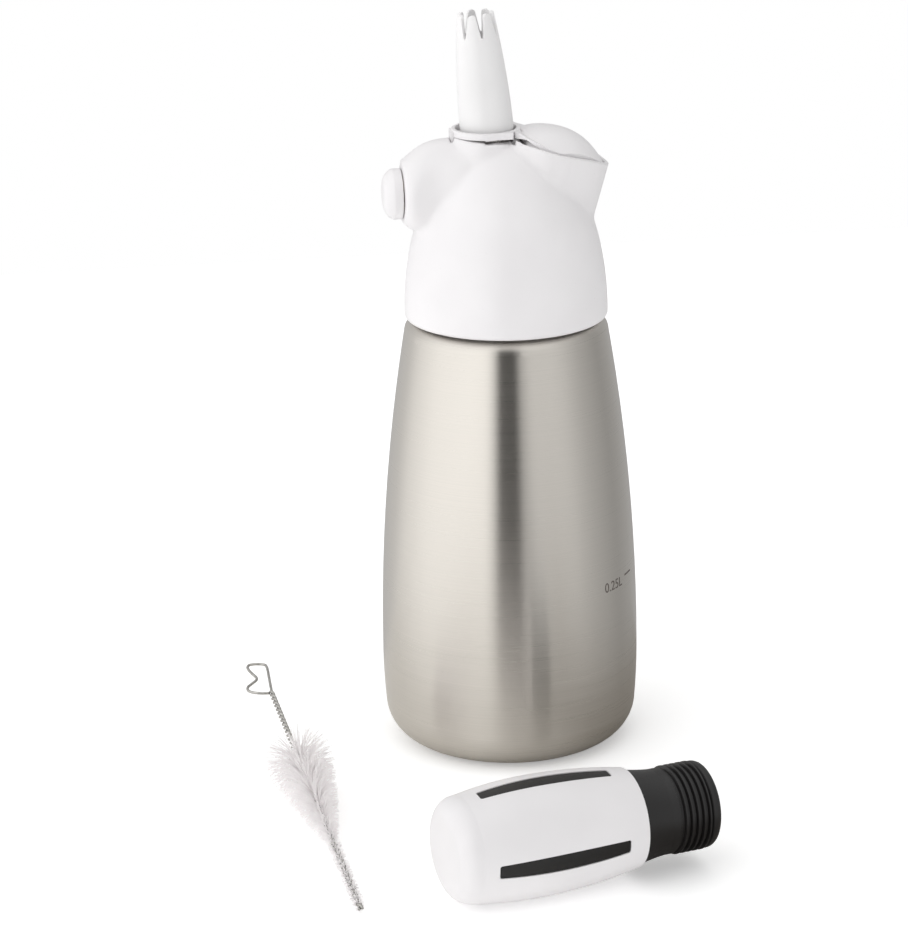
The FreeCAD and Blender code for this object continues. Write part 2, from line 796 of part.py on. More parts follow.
keep("port_nipple", port_nipple())
keep("piercing_pin", piercing_pin())
keep("check_valve_seal", turned("check_valve_seal", [
    (dim.pin_bore, dim.nipple_shank_end),
    (dim.valve_disc_radius, dim.nipple_shank_end),
    (dim.valve_disc_radius, dim.nipple_shank_end + dim.valve_disc - dim.face_gap),
    (dim.pin_bore, dim.nipple_shank_end + dim.valve_disc - dim.face_gap),
], OUTWARDS))
keep("charger_seal", turned("charger_seal", [
    (dim.nipple_bore - dim.charger_seal_width, dim.nipple_floor + dim.face_gap),
    (dim.nipple_bore - dim.face_gap, dim.nipple_floor + dim.face_gap),
    (dim.nipple_bore - dim.face_gap, dim.nipple_floor + dim.charger_seal_thickness),
    (dim.nipple_bore - dim.charger_seal_width, dim.nipple_floor + dim.charger_seal_thickness),
], OUTWARDS))
keep("port_cap", turned("port_cap", [
    (0, dim.nipple_end + dim.cap_end_gap),
    (dim.nipple_radius + dim.running_gap, dim.nipple_end + dim.cap_end_gap),
    (dim.nipple_radius + dim.running_gap, dim.cap_foot),
    (dim.cap_radius, dim.cap_foot),
    (dim.cap_radius, dim.cap_band_end, dim.cap_round, LEFT),
    (dim.cap_end_radius, dim.cap_end),
    (0, dim.cap_end),
], OUTWARDS))


# ---------------------------------------------------------------- valve
keep("valve_bush", turned("valve_bush", [
    (dim.bush_bore, dim.bush_foot),
    (dim.bush_radius, dim.bush_foot),
    (dim.bush_radius, dim.bush_top),
    (dim.bush_bore, dim.bush_top),
], NOZZLE))


def valve_stem():
    """Rod through the bush, then a tube with cross ports, a ring groove, a flange and a thread's room."""
    groove_half = dim.ring_section + dim.fit_gap
    groove_root = dim.stem_tube - dim.ring_section * 2
    rod_foot = dim.bush_foot - dim.seal_thickness - dim.nut_height + dim.face_gap
    corners = [
        (0, rod_foot),
        (dim.stem_rod, rod_foot),
        (dim.stem_rod, dim.stem_cone_foot),
        (dim.stem_tube, dim.stem_cone_top),
        (dim.stem_tube, dim.ring_groove_height - groove_half),
        (groove_root, dim.ring_groove_height - groove_half),
        (groove_root, dim.ring_groove_height + groove_half),
        (dim.stem_tube, dim.ring_groove_height + groove_half),
        (dim.stem_tube, dim.stem_flange_top - dim.stem_flange),
        (dim.stem_flange_radius, dim.stem_flange_top - dim.stem_flange),
        (dim.stem_flange_radius, dim.stem_flange_top),
        (dim.stem_tube, dim.stem_flange_top),
        (dim.stem_tube, dim.stem_top),
        (dim.stem_bore, dim.stem_top),
        (dim.stem_bore, dim.stem_bore_foot),
        (0, dim.stem_bore_foot),
    ]
    blank = turned("stem_blank", corners, NOZZLE)
    drills = []
    reach = dim.stem_tube * 2
    for number, turn in enumerate((0, QUARTER_TURN)):
        lying = Rotation(Vector(0, 0, 1), turn).multiply(Rotation(Vector(0, 1, 0), QUARTER_TURN))
        middle = NOZZLE.multiply(at(0, 0, dim.stem_port_height, lying))
        drills.append(cylinder(f"stem_port_{number}", dim.stem_port_radius, reach * 2,
                               middle.multiply(at(0, 0, -reach))))
    return cut("valve_stem", blank, *drills)


keep("valve_stem", valve_stem())
keep("stem_o_ring", primitive("Torus", "stem_o_ring", up_nozzle(dim.ring_groove_height),
                              Radius1=dim.stem_tube - dim.ring_section, Radius2=dim.ring_section))
seal_top = dim.bush_foot - dim.face_gap
keep("valve_seal", turned("valve_seal", [
    (dim.stem_rod + dim.face_gap, seal_top - dim.seal_thickness),
    (dim.seal_radius, seal_top - dim.seal_thickness),
    (dim.seal_radius, seal_top),
    (dim.stem_rod + dim.face_gap, seal_top),
], NOZZLE))
nut_top = seal_top - dim.seal_thickness - dim.face_gap
keep("valve_nut", turned("valve_nut", [
    (dim.stem_rod + dim.face_gap, nut_top - dim.nut_height),
    (dim.nut_radius, nut_top - dim.nut_height),
    (dim.nut_radius + dim.spring_wire, nut_top - dim.spring_wire),
    (dim.nut_radius + dim.spring_wire, nut_top),
    (dim.stem_rod + dim.face_gap, nut_top),
], NOZZLE))


def return_spring():
    """Coil from the floor of the spring well to the stem's flange, bent from short straight runs."""
    room = dim.stem_flange_top - dim.stem_flange - dim.guide_top
    rise = (room - dim.spring_wire * 2 - dim.face_gap * 2).number
    runs = int(dim.spring_turns.number * dim.spring_runs.number)
    step = Rotation(Vector(0, 0, 1), FULL_TURN / dim.spring_runs.number)
    spoke = Vector(dim.spring_radius.number, 0, 0)
    path = [spoke]
    for run in range(runs):
        spoke = step.multVec(spoke)
        path.append(spoke + Vector(0, 0, rise * (run + 1) / runs))
    along = Rotation(Vector(0, 0, 1), path[1] - path[0])
    side_step = Rotation(Vector(0, 0, 1), FULL_TURN / dim.spring_sides.number)
    corner = Vector(dim.spring_wire.number, 0, 0)
    section = [path[0] + along.multVec(corner)]
    for _ in range(int(dim.spring_sides.number)):
        corner = side_step.multVec(corner)
        section.append(path[0] + along.multVec(corner))
    spring = doc.addObject("Part::Feature", "return_spring")
    spring.Shape = Part.makePolygon(path).makePipeShell([Part.makePolygon(section)], True, False, MITRED)
    spring.Placement = up_nozzle(dim.guide_top + dim.spring_wire + dim.face_gap)
    return spring


keep("return_spring", return_spring())


# ---------------------------------------------------------------- nozzle
def nozzle_tip():
    """Tulip tube screwed on the stem: its mouth is drawn in and cut into pointed teeth."""
    wall = dim.tip_wall
    blank = turned("tip_blank", [
        (dim.stem_tube + dim.face_gap, dim.tip_foot),
        (dim.tip_foot_radius, dim.tip_foot),
        (dim.tip_waist_radius, dim.tip_waist, dim.tip_side_sweep, LEFT),
        (dim.tip_top_radius, dim.tip_top),
        (dim.tip_top_radius - wall, dim.tip_top, dim.tip_side_sweep - wall, RIGHT),
        (dim.tip_waist_radius - wall, dim.tip_waist),
        (dim.stem_tube + dim.face_gap, dim.tip_thread_top),
    ], NOZZLE)
    gap = dim.tooth_gap
    tip_round = dim.tooth_round
    notch = new_body("tooth_notch")
    wedge = notch.newObject("PartDesign::Pad", "tooth_notch_pad")
    root = dim.tip_top - dim.tooth_depth
    wedge.Profile = new_sketch(notch, "XZ_Plane", [
        (-dim.tooth_root, root, dim.tooth_root_round, LEFT),
        (dim.tooth_root, root),
        (gap, dim.tip_top - tip_round, tip_round, RIGHT),
        (gap + tip_round, dim.tip_top),
        (gap + tip_round, dim.tip_top + tip_round),
        (-(gap + tip_round), dim.tip_top + tip_round),
        (-(gap + tip_round), dim.tip_top, tip_round, RIGHT),
        (-gap, dim.tip_top - tip_round),
    ])
    wedge.setExpression("Length", dim.tip_foot_radius.text)
    finish(notch, wedge)
    count = int(dim.tooth_count.number)
    notches = []
    for number in range(count):
        turn = Rotation(Vector(0, 0, 1), dim.tooth_turn.number + number * FULL_TURN / count)
        copy = doc.addObject("Part::Feature", f"tooth_notch_{number}")
        copy.Shape = notch.Shape
        copy.Placement = NOZZLE.multiply(Placement(Vector(), turn))
        notches.append(copy)
    return cut("nozzle_tip", blank, *notches)


keep("nozzle_tip", nozzle_tip())


# ---------------------------------------------------------------- lever
def crown(name, shift=0, drop=0):
    """The thumb pad's crowned top, turned about a line along X.  Its underside is shifted and lowered."""
    axis_height = dim.crown_axis_height
    profile = upright_outline(f"{name}_outline", [
        (dim.crown_start, axis_height),
        (dim.crown_end, axis_height),
        (dim.crown_end, axis_height + dim.crown_end_rise, dim.crown_fall_sweep, LEFT),
        (dim.crown_fall, axis_height + dim.crown_fall_rise, dim.crown_brow_sweep, LEFT),
        (dim.crown_brow, axis_height + dim.crown_brow_rise, dim.crown_peak_sweep, LEFT),
        (dim.crown_peak, axis_height + dim.crown_peak_rise, dim.crown_start_sweep, LEFT),
        (dim.crown_start, axis_height + dim.crown_start_rise),
    ])
    body = doc.addObject("Part::Revolution", name)
    body.Source = profile
    body.Axis = Vector(1, 0, 0)
    body.Base = Vector(0, 0, axis_height.number)
    body.Angle = FULL_TURN
    body.Solid = True
    body.Placement = at(-shift, 0, -drop)
    return body


def lever_bridge():
    """The plate from the ring to the thumb pad: it bends down, then runs out along the rim."""
    profile = upright_outline("lever_bridge_outline", [
        (dim.bridge_start, dim.ring_foot),
        (dim.skirt_start, dim.ring_foot),
        (dim.bridge_end, dim.bridge_end_height - dim.lever_wall * 2),
        (dim.bridge_end, dim.bridge_end_height, dim.bridge_toe_sweep, RIGHT),
        (dim.bridge_toe, dim.bridge_toe_height),
        (dim.bridge_fall, dim.bridge_fall_height, dim.bridge_bend_sweep, LEFT),
        (dim.bridge_bend, dim.ring_top),
        (dim.bridge_start, dim.ring_top),
    ])
    return across_outline("lever_bridge_plate", profile, wide)


def below_lever():
    """Everything under the lever: level under the bridge, then a skirt's depth below the rim."""
    profile = upright_outline("below_lever_outline", [
        (dim.hinge_x - wide, crest_foot - wide),
        (dim.rim_end + wide, crest_foot - wide),
        (dim.rim_end + wide, rim_end_height - dim.lever_skirt),
        (dim.rim_end, rim_end_height - dim.lever_skirt, dim.rim_end_sweep, LEFT),
        (dim.rim_bend, rim_bend_height - dim.lever_skirt),
        (dim.skirt_start, dim.rim_start_height - dim.skirt_start_drop),
        (dim.skirt_start, dim.ring_foot),
        (dim.hinge_x - wide, dim.ring_foot),
    ])
    return across_outline("below_lever", profile, wide)


def lever():
    pad_inset = dim.wing_wall + dim.lever_gap
    top = fuse("lever_top", lever_bridge(), crown("pad_crown"))
    pad = cut("lever_pad", common("lever_plan", wing_solid("lever_side", pad_inset), top), below_lever())
    hollow_side = wing_solid("pad_hollow_side", pad_inset + dim.lever_wall)
    hollow_blank = common("pad_hollow_blank", hollow_side,
                          crown("pad_hollow_crown", dim.hollow_shift, dim.lever_wall))
    hollow = cut("pad_hollow", hollow_blank,
                 box_between("pad_hollow_end", (-wide, -wide, dim.wing_foot),
                             (dim.skirt_start + dim.lever_wall, wide, sky)))
    ring = turned("lever_ring", [
        (dim.ring_bore, dim.ring_foot),
        (dim.ring_radius, dim.ring_foot),
        (dim.ring_radius, dim.ring_top - dim.ring_round, dim.ring_round, LEFT),
        (dim.ring_radius - dim.ring_round, dim.ring_top),
        (dim.ring_bore, dim.ring_top),
    ], at(dim.crest_centre, 0, 0))
    half = dim.plate_half_width
    soft = dim.ring_round
    facing_out = Rotation(Vector(0, 1, 0), Vector(0, 0, 1), Vector(1, 0, 0), "XYZ")
    section = doc.addObject("Sketcher::SketchObject", "lever_plate_section")
    section.Placement = at(dim.crest_centre, 0, 0, facing_out)
    outline(section, [
        (-half, dim.ring_foot),
        (half, dim.ring_foot),
        (half, dim.ring_top - soft, soft, LEFT),
        (half - soft, dim.ring_top),
        (-(half - soft), dim.ring_top, soft, LEFT),
        (-half, dim.ring_top - soft),
    ])
    shoulder = doc.addObject("Part::Extrusion", "lever_shoulder")
    shoulder.Base = section
    shoulder.DirMode = "Custom"
    shoulder.Dir = Vector(1, 0, 0)
    shoulder.setExpression("LengthFwd", (dim.plate_end - dim.crest_centre).text)
    shoulder.Solid = True
    nozzle_room = cylinder("nozzle_room", dim.ring_bore, sky - dim.wing_foot,
                           at(dim.crest_centre, 0, dim.wing_foot))
    width = dim.lug_half_width
    lug = [
        cylinder("lug_boss", dim.lug_radius, width * 2,
                 at(dim.hinge_x, -width, dim.hinge_z, Rotation(Vector(1, 0, 0), -QUARTER_TURN))),
        box_between("lug_web", (dim.hinge_x - dim.lug_radius, -width, dim.hinge_z),
                    (dim.crest_centre - dim.ring_bore - dim.fit_gap, width, dim.ring_top - dim.ring_round)),
    ]
    pusher_bar = box_between("pusher_bar", (-dim.pusher_half_width, -dim.ring_radius, dim.pusher_foot),
                             (dim.pusher_half_width, dim.ring_radius, dim.pusher_top), NOZZLE)
    pusher_ends = cylinder("pusher_reach", dim.ring_radius - dim.ring_round, sky - crest_foot,
                           at(dim.crest_centre, 0, crest_foot))
    stem_room = cylinder("stem_room", dim.pusher_reach, dim.tip_foot, up_nozzle(dim.guide_top))
    pushers = cut("lever_pushers", common("pushers", pusher_bar, pusher_ends), stem_room)
    plate = cut("lever_plate", fuse("lever_plate_blank", cut("pad_shell", pad, hollow), shoulder),
                nozzle_room)
    pin_hole = cylinder("lever_pin_hole", dim.hinge_pin_radius + dim.running_gap, wide,
                        on_hinge(dim.fit_gap))
    return cut("lever", fuse("lever_blank", plate, ring, pushers, *lug), pin_hole)


keep("lever", lever())
keep("hinge_pin", cylinder("hinge_pin", dim.hinge_pin_radius, dim.hinge_pin_length, on_hinge(0)))


# ---------------------------------------------------------------- cartridge holder
LYING = Rotation(Vector(0, 0, 1), dim.holder_turn.number).multiply(Rotation(Vector(0, 1, 0), QUARTER_TURN))
HOLDER = at(dim.holder_x, dim.holder_y, dim.casing_belly_radius, LYING)


def barrel(drop):
    """The casing's outside from its closed end to its mouth, drawn in by drop."""
    return [
        (dim.casing_end_radius, drop, dim.casing_end_round - drop, LEFT),
        (dim.casing_side_radius - drop, dim.casing_side_start, dim.casing_front_sweep - drop, LEFT),
        (dim.casing_belly_radius - drop, dim.casing_belly, dim.casing_back_sweep - drop, LEFT),
        (dim.casing_mouth_radius - drop, dim.casing_length),
    ]


def slot_bodies(name, inset):
    """One body through each slot of the casing, drawn in by inset all round."""
    slot = new_body(name)
    window = slot.newObject("PartDesign::Pad", f"{name}_pad")
    half = dim.slot_half_width - inset
    low = dim.slot_start + inset
    high = dim.slot_end - inset
    soft = dim.slot_round - inset
    window.Profile = new_sketch(slot, "XZ_Plane", [
        (-half + soft, low),
        (half - soft, low, soft, LEFT),
        (half, low + soft, dim.slot_side_sweep, LEFT),
        (half, high - soft, soft, LEFT),
        (half - soft, high),
        (-half + soft, high, soft, LEFT),
        (-half, high - soft, dim.slot_side_sweep, LEFT),
        (-half, low + soft, soft, LEFT),
    ])
    window.setExpression("Length", (dim.casing_belly_radius * 2).text)
    finish(slot, window)
    count = int(dim.slot_count.number)
    windows = []
    for number in range(count):
        turn = Rotation(Vector(0, 0, 1), dim.slot_turn.number + number * FULL_TURN / count)
        copy = doc.addObject("Part::Feature", f"{name}_{number}")
        copy.Shape = slot.Shape
        copy.Placement = HOLDER.multiply(Placement(Vector(), turn))
        windows.append(copy)
    return windows


def holder_casing():
    wall = dim.casing_wall
    inside = [
        (dim.casing_mouth_radius - wall, dim.casing_length, dim.casing_back_sweep - wall, RIGHT),
        (dim.casing_belly_radius - wall, dim.casing_belly, dim.casing_front_sweep - wall, RIGHT),
        (dim.casing_side_radius - wall, dim.casing_side_start, dim.casing_end_round - wall, RIGHT),
        (dim.casing_end_radius, wall),
        (0, wall),
    ]
    blank = turned("casing_blank", [(0, 0)] + barrel(as_size(0)) + inside, HOLDER)
    return cut("holder_casing", blank, *slot_bodies("casing_slot", as_size(0)))


def holder_core():
    """Soft sleeve in the casing, bored for the cartridge: a ribbed neck and a grip pad in each slot."""
    drop = dim.casing_wall + dim.core_gap
    mouth_end = dim.casing_length + dim.core_gap
    outside = barrel(drop) + [
        (dim.casing_mouth_radius - drop, mouth_end),
        (dim.core_root_radius, mouth_end, dim.core_root_sweep, RIGHT),
        (dim.core_neck_radius, dim.core_neck_start),
        (dim.core_neck_radius, dim.rib_start - dim.neck_fade),
        (dim.rib_valley, dim.rib_start),
    ]
    ribs = []
    for number in range(int(dim.rib_count.number)):
        rib_end = dim.rib_start + dim.rib_pitch * (number + 1)
        ribs.append((dim.rib_valley, rib_end - dim.rib_width))
        ribs.append((dim.rib_radius, rib_end - dim.rib_width + dim.rib_flank))
        ribs.append((dim.rib_radius, rib_end - dim.rib_flank))
        ribs.append((dim.rib_valley, rib_end))
    lip_start = dim.holder_length - dim.lip_round
    mouth = [
        (dim.lip_radius, lip_start - dim.lip_band),
        (dim.lip_radius, lip_start, dim.lip_round, LEFT),
        (dim.lip_face_radius, dim.holder_length),
        (dim.mouth_bore, dim.holder_length),
        (dim.mouth_bore, dim.holder_length - dim.mouth_depth),
        (dim.cartridge_bore, dim.holder_length - dim.mouth_depth),
        (dim.cartridge_bore, dim.cartridge_depth),
        (0, dim.cartridge_depth),
    ]
    sleeve = turned("core_sleeve", [(0, drop)] + outside + ribs + mouth, HOLDER)
    grip_corners = [(0, dim.grip_depth)] + barrel(dim.grip_depth) + [(0, dim.casing_length)]
    grip_inside = cylinder("grip_inside", dim.cartridge_bore + dim.grip_depth, dim.casing_length, HOLDER)
    grip_blank = cut("grip_blank", turned("grip_outside", grip_corners, HOLDER), grip_inside)
    pads = fuse("grip_slots", *slot_bodies("grip_slot", dim.grip_gap))
    return fuse("holder_core", sleeve, common("grip_pads", grip_blank, pads))


keep("holder_casing", holder_casing())
keep("holder_core", holder_core())


# ---------------------------------------------------------------- cleaning brush
ALONG = Rotation(Vector(0, 0, 1), dim.brush_turn.number).multiply(
    Rotation(Vector(1, 0, 0), dim.brush_rise.number - QUARTER_TURN))
BRUSH = at(dim.brush_x, dim.brush_y, dim.brush_z, ALONG)


# The wire's loop as shares of its width and length, from the end of the stem round and back to it.
LOOP_SHAPE = [
    (0.0, 0.0), (0.06, 0.2), (0.13, 0.44), (0.22, 0.78), (0.19, 0.94), (0.05, 1.0), (-0.3, 1.0),
    (-0.48, 0.95), (-0.53, 0.86), (-0.44, 0.7), (-0.27, 0.52), (-0.5, 0.38), (-0.74, 0.29),
    (-0.8, 0.2), (-0.73, 0.09), (-0.45, 0.02), (-0.09, -0.01),
]


def brush_wire():
    """Twisted stem with the wire's loop on its end: a straight side, two lobes and a notch between."""
    stem = turned("brush_stem", [
        (0, 0),
        (dim.brush_stem_radius, 0),
        (dim.brush_stem_radius, dim.brush_stem_top),
        (0, dim.brush_stem_top),
    ], BRUSH)
    foot = dim.brush_stem_top.number - dim.brush_wire.number
    points = [Vector(across * dim.loop_width.number, 0, foot + along * dim.loop_length.number)
              for across, along in LOOP_SHAPE]
    curve = Part.BSplineCurve()
    curve.interpolate(points)
    start = Part.Circle(points[0], curve.tangent(curve.FirstParameter)[0], dim.brush_wire.number)
    loop = doc.addObject("Part::Feature", "brush_loop")
    loop.Shape = Part.Wire([curve.toShape()]).makePipeShell([Part.Wire([start.toShape()])], True, False)
    loop.Placement = BRUSH
    return fuse("brush_wire", stem, loop)


def bristle_solid(name, corners):
    """Bristles as one solid round the stem, pressed flat where they lie on the table."""
    blank = turned(f"{name}_blank", corners, BRUSH)
    reach = dim.brush_stem_top
    corner = at(dim.brush_x - reach, dim.brush_y - reach, dim.floor_gap - reach)
    table = primitive("Box", f"{name}_table", corner, Length=reach * 2, Width=reach * 2, Height=reach)
    return cut(name, blank, table)


stem_gap = dim.brush_stem_radius + dim.core_gap
keep("brush_wire", brush_wire())
keep("brush_bristles", bristle_solid("brush_bristles", [
    (stem_gap, dim.fan_foot),
    (dim.fan_foot_radius, dim.fan_foot),
    (dim.fan_radius, dim.fan_shoulder, dim.fan_radius, LEFT),
    (dim.fan_top_radius, dim.fan_top),
    (stem_gap, dim.fan_top),
]))
keep("brush_tail_bristles", bristle_solid("brush_tail_bristles", [
    (stem_gap, dim.brush_wire * 2),
    (dim.tail_radius, dim.brush_wire * 2),
    (dim.fan_foot_radius, dim.fan_foot - dim.core_gap),
    (stem_gap, dim.fan_foot - dim.core_gap),
]))


# ---------------------------------------------------------------- checks and files
doc.recompute()
for item in doc.Objects:
    if "Invalid" in item.State or "Error" in item.State:
        raise RuntimeError(f"{item.Name} did not build: {item.State}")
for node in nodes:
    if node.Shape.isNull() or not node.Shape.isValid() or not node.Shape.Solids:
        raise RuntimeError(f"{node.Label} has no valid solid")

os.makedirs("parts", exist_ok=True)
for node in nodes:
    node.Shape.exportStep(os.path.join("parts", f"{node.Label}.step"))
    print(f"{node.Label}: {len(node.Shape.Solids)} solid, {node.Shape.Volume:.0f} mm3")
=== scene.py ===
# %% [markdown]
# # A cream dispenser with its cartridge holder and cleaning brush
# The rigid parts already exist as solids with their joints.  This lesson dresses them: it gives each one
# the finish of the real thing, and adds what a solid can't show, such as twisted wire, bristles and
# softened creases. Shapes are written in millimetres and turned to metres as a mesh is made.  The
# bottle's base stands on the floor, and the gas port points towards -X.

# %% Load the solids
import math
import random

import bmesh
import bpy
from mathutils import Matrix, Vector
from mathutils.bvhtree import BVHTree
from mathutils.kdtree import KDTree


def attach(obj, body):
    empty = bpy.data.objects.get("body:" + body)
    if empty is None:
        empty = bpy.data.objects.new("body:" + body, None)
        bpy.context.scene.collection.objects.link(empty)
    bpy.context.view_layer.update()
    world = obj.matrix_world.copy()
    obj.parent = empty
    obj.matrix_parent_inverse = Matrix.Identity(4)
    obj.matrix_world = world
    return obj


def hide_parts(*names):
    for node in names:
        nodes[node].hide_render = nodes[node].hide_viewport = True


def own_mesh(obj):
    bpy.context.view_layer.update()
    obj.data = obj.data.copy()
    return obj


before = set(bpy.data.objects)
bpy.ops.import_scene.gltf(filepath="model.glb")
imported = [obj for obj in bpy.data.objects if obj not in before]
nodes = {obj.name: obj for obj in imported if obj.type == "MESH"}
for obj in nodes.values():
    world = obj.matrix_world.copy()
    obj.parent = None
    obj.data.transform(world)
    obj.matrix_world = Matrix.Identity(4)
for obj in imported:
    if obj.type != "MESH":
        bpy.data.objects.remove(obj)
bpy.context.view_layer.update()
MM = 0.001
SAME_POINT = 0.001 * MM

# %% [markdown]
# ## Helpers for objects
# Curves, texts and modifiers all end as plain meshes, so one function gives the mesh that an object
# shows.  Each new piece is drawn in a bmesh at its final place, and one function turns that to an object
# at the origin.


# %% Object helpers
def place_object(name, data):
    thing = bpy.data.objects.new(name, data)
    bpy.context.scene.collection.objects.link(thing)
    return thing


def shown_mesh(thing):
    """The mesh that an object shows, with its modifiers or its curve worked out."""
    bpy.context.view_layer.update()
    return bpy.data.meshes.new_from_object(thing.evaluated_get(bpy.context.evaluated_depsgraph_get()))


def welded_copy(mesh):
    """A bmesh of a mesh, with the points that lie on each other joined."""
    bm = bmesh.new()
    bm.from_mesh(mesh)
    bmesh.ops.remove_doubles(bm, verts=bm.verts[:], dist=SAME_POINT)
    return bm


def curve_as_bmesh(curve):
    """A curve or a text as a closed mesh to work on."""
    drawn = place_object(curve.name + "_path", curve)
    mesh = shown_mesh(drawn)
    bpy.data.objects.remove(drawn)
    return welded_copy(mesh)


def keep_piece(bm, name, material, smooth=True):
    """Makes an object at the origin from a bmesh, with its faces pointing out."""
    bmesh.ops.recalc_face_normals(bm, faces=bm.faces[:])
    for face in bm.faces:
        face.smooth = smooth
    mesh = bpy.data.meshes.new(name)
    bm.to_mesh(mesh)
    bm.free()
    mesh.materials.append(material)
    print(name, "faces:", len(mesh.polygons))
    return place_object(name, mesh)


# %% [markdown]
# ## Camera
# The camera comes early, because every choice of detail depends on what it sees.  It stands a metre away
# with a long lens and looks down a little, turned so that the gas port shows on the left.

# %% Camera
CAMERA_PLACE = Vector((-156.28, -991.69, 415.26)) * MM
CAMERA_AIM = Vector((-16.58, 2.33, 85.21)) * MM
CAMERA_ROLL = math.radians(-0.96)
SENSOR_WIDTH = 36.0
FOCAL_LENGTH = 129.39
lens = bpy.data.cameras.new("camera")
lens.sensor_fit = "AUTO"
lens.sensor_width = SENSOR_WIDTH
lens.lens = FOCAL_LENGTH
camera = place_object("camera", lens)
turn = (CAMERA_AIM - CAMERA_PLACE).to_track_quat("-Z", "Y").to_matrix().to_4x4()
camera.matrix_world = Matrix.Translation(CAMERA_PLACE) @ turn @ Matrix.Rotation(CAMERA_ROLL, 4, "Z")
bpy.context.scene.camera = camera
print("camera at", [round(value, 3) for value in CAMERA_PLACE])

# %% [markdown]
# ## Helpers for materials
# A colour is written as the hex value that a colour picker shows, and one function turns it to the linear
# light that shaders work in.  One function adds a node with its settings and its links.  A noise spends
# most of its time between 0.3 and 0.7, so that stretch is what becomes a colour or a gloss.

# %% Colour and node helpers
NOISE_LOW, NOISE_HIGH = 0.3, 0.7
MIXED_COLOUR = 2


def colour(hexa):
    """The linear light of a hex colour, by the standard sRGB curve."""
    parts = [int(hexa[i:i + 2], 16) / 255 for i in (1, 3, 5)]
    return [part / 12.92 if part <= 0.04045 else ((part + 0.055) / 1.055) ** 2.4 for part in parts] + [1.0]


def add(tree, kind, settings=None, **inputs):
    """Adds a node.  An input goes by its name or, as i6, its number, and is a value or (node, output)."""
    node = tree.nodes.new(kind)
    for name, value in (settings or {}).items():
        setattr(node, name, value)
    for name, value in inputs.items():
        socket = node.inputs[int(name[1:]) if name[1:].isdigit() else name.replace("_", " ")]
        if isinstance(value, tuple) and isinstance(value[0], bpy.types.Node):
            tree.links.new(value[0].outputs[value[1]], socket)
        else:
            socket.default_value = value
    return node


def ramp(tree, source, stops):
    """A colour ramp over source, from (position, hex) or (position, brightness) stops."""
    node = add(tree, "ShaderNodeValToRGB", i0=source)
    band = node.color_ramp
    while len(band.elements) < len(stops):
        band.elements.new(0.5)
    for element, (place, value) in zip(band.elements, stops):
        element.position = place
        element.color = colour(value) if isinstance(value, str) else [value] * 3 + [1.0]
    return node, "Color"


# %% [markdown]
# Most finishes need the same few things: a noise, two tones or a gloss that follow it, and a shader that
# ends the tree.


# %% Material helpers
def spread_over(tree, source, low, high, first, last):
    """A number that goes from first to last while source goes from low to high (inputs 1 to 4)."""
    node = add(tree, "ShaderNodeMapRange", Value=source, i1=low, i2=high, i3=first, i4=last)
    return node, "Result"


def mixed(tree, share, first, second, blend="MIX"):
    """Two colours mixed.  The node keeps its colour inputs at 6 and 7."""
    settings = {"data_type": "RGBA", "blend_type": blend}
    return add(tree, "ShaderNodeMix", settings, i0=share, i6=first, i7=second), MIXED_COLOUR


def noise(tree, place, scale, detail, **more):
    return add(tree, "ShaderNodeTexNoise", Vector=place, Scale=scale, Detail=detail, **more), "Fac"


def two_tones(tree, source, dark, light):
    return ramp(tree, source, [(NOISE_LOW, dark), (NOISE_HIGH, light)])


def uneven(tree, source, middle, by):
    """A number that wavers round its middle."""
    return spread_over(tree, source, NOISE_LOW, NOISE_HIGH, middle - by, middle + by)


def new_material(name):
    material = bpy.data.materials.new(name)
    material.use_nodes = True
    tree = material.node_tree
    tree.nodes.clear()
    place = add(tree, "ShaderNodeTexCoord")
    return material, tree, (place, "Object")


def finish_material(tree, **inputs):
    shader = add(tree, "ShaderNodeBsdfPrincipled", **inputs)
    add(tree, "ShaderNodeOutputMaterial", i0=(shader, "BSDF"))


# %% [markdown]
# ## Brushed stainless steel
# The bottle is drawn from sheet and brushed while it turns, so its scratches run round it and smear each
# reflection up and down.  The shader's anisotropy makes the smear, and a noise squeezed to thin level
# lines makes the scratches that the eye can see.  Real ones are about 0.05 mm apart, which is too fine to
# show, so they are drawn four times as coarse.


# %% Brushed steel
def brushed_steel(name, light, dark, rough, line_spacing, line_length):
    material, tree, place = new_material(name)
    squeeze = (1 / line_length, 1 / line_length, 1 / line_spacing)
    lines = add(tree, "ShaderNodeMapping", Vector=place, Scale=squeeze)
    scratches = noise(tree, (lines, "Vector"), scale=1.0, detail=3.0, Roughness=0.6)
    relief = add(tree, "ShaderNodeBump", Height=scratches, Strength=0.01, Distance=0.02 * MM)
    round_axis = add(tree, "ShaderNodeTangent", {"direction_type": "RADIAL", "axis": "Z"})
    finish_material(tree, Base_Color=two_tones(tree, scratches, dark, light), Metallic=1.0,
                    Roughness=uneven(tree, scratches, rough, by=0.03), Normal=(relief, "Normal"),
                    Anisotropic=0.95, Anisotropic_Rotation=0.25, Tangent=(round_axis, "Tangent"))
    return material


steel = brushed_steel("brushed_stainless_steel", "#D4CFC8", "#CDC9C2", rough=0.3, line_spacing=0.2 * MM,
                      line_length=1 / 9)
print("material:", steel.name)

# %% [markdown]
# ## Moulded plastics
# The head, lever, nozzle and holder barrel are injection-moulded ABS.  It is a clean white with a satin
# skin, so its colour hardly changes, but a very fine spark-eroded grain breaks up its reflections.  The
# nozzle's thin wall lets more light through.  The holder's sleeve is black polypropylene with a coarser,
# duller grain.


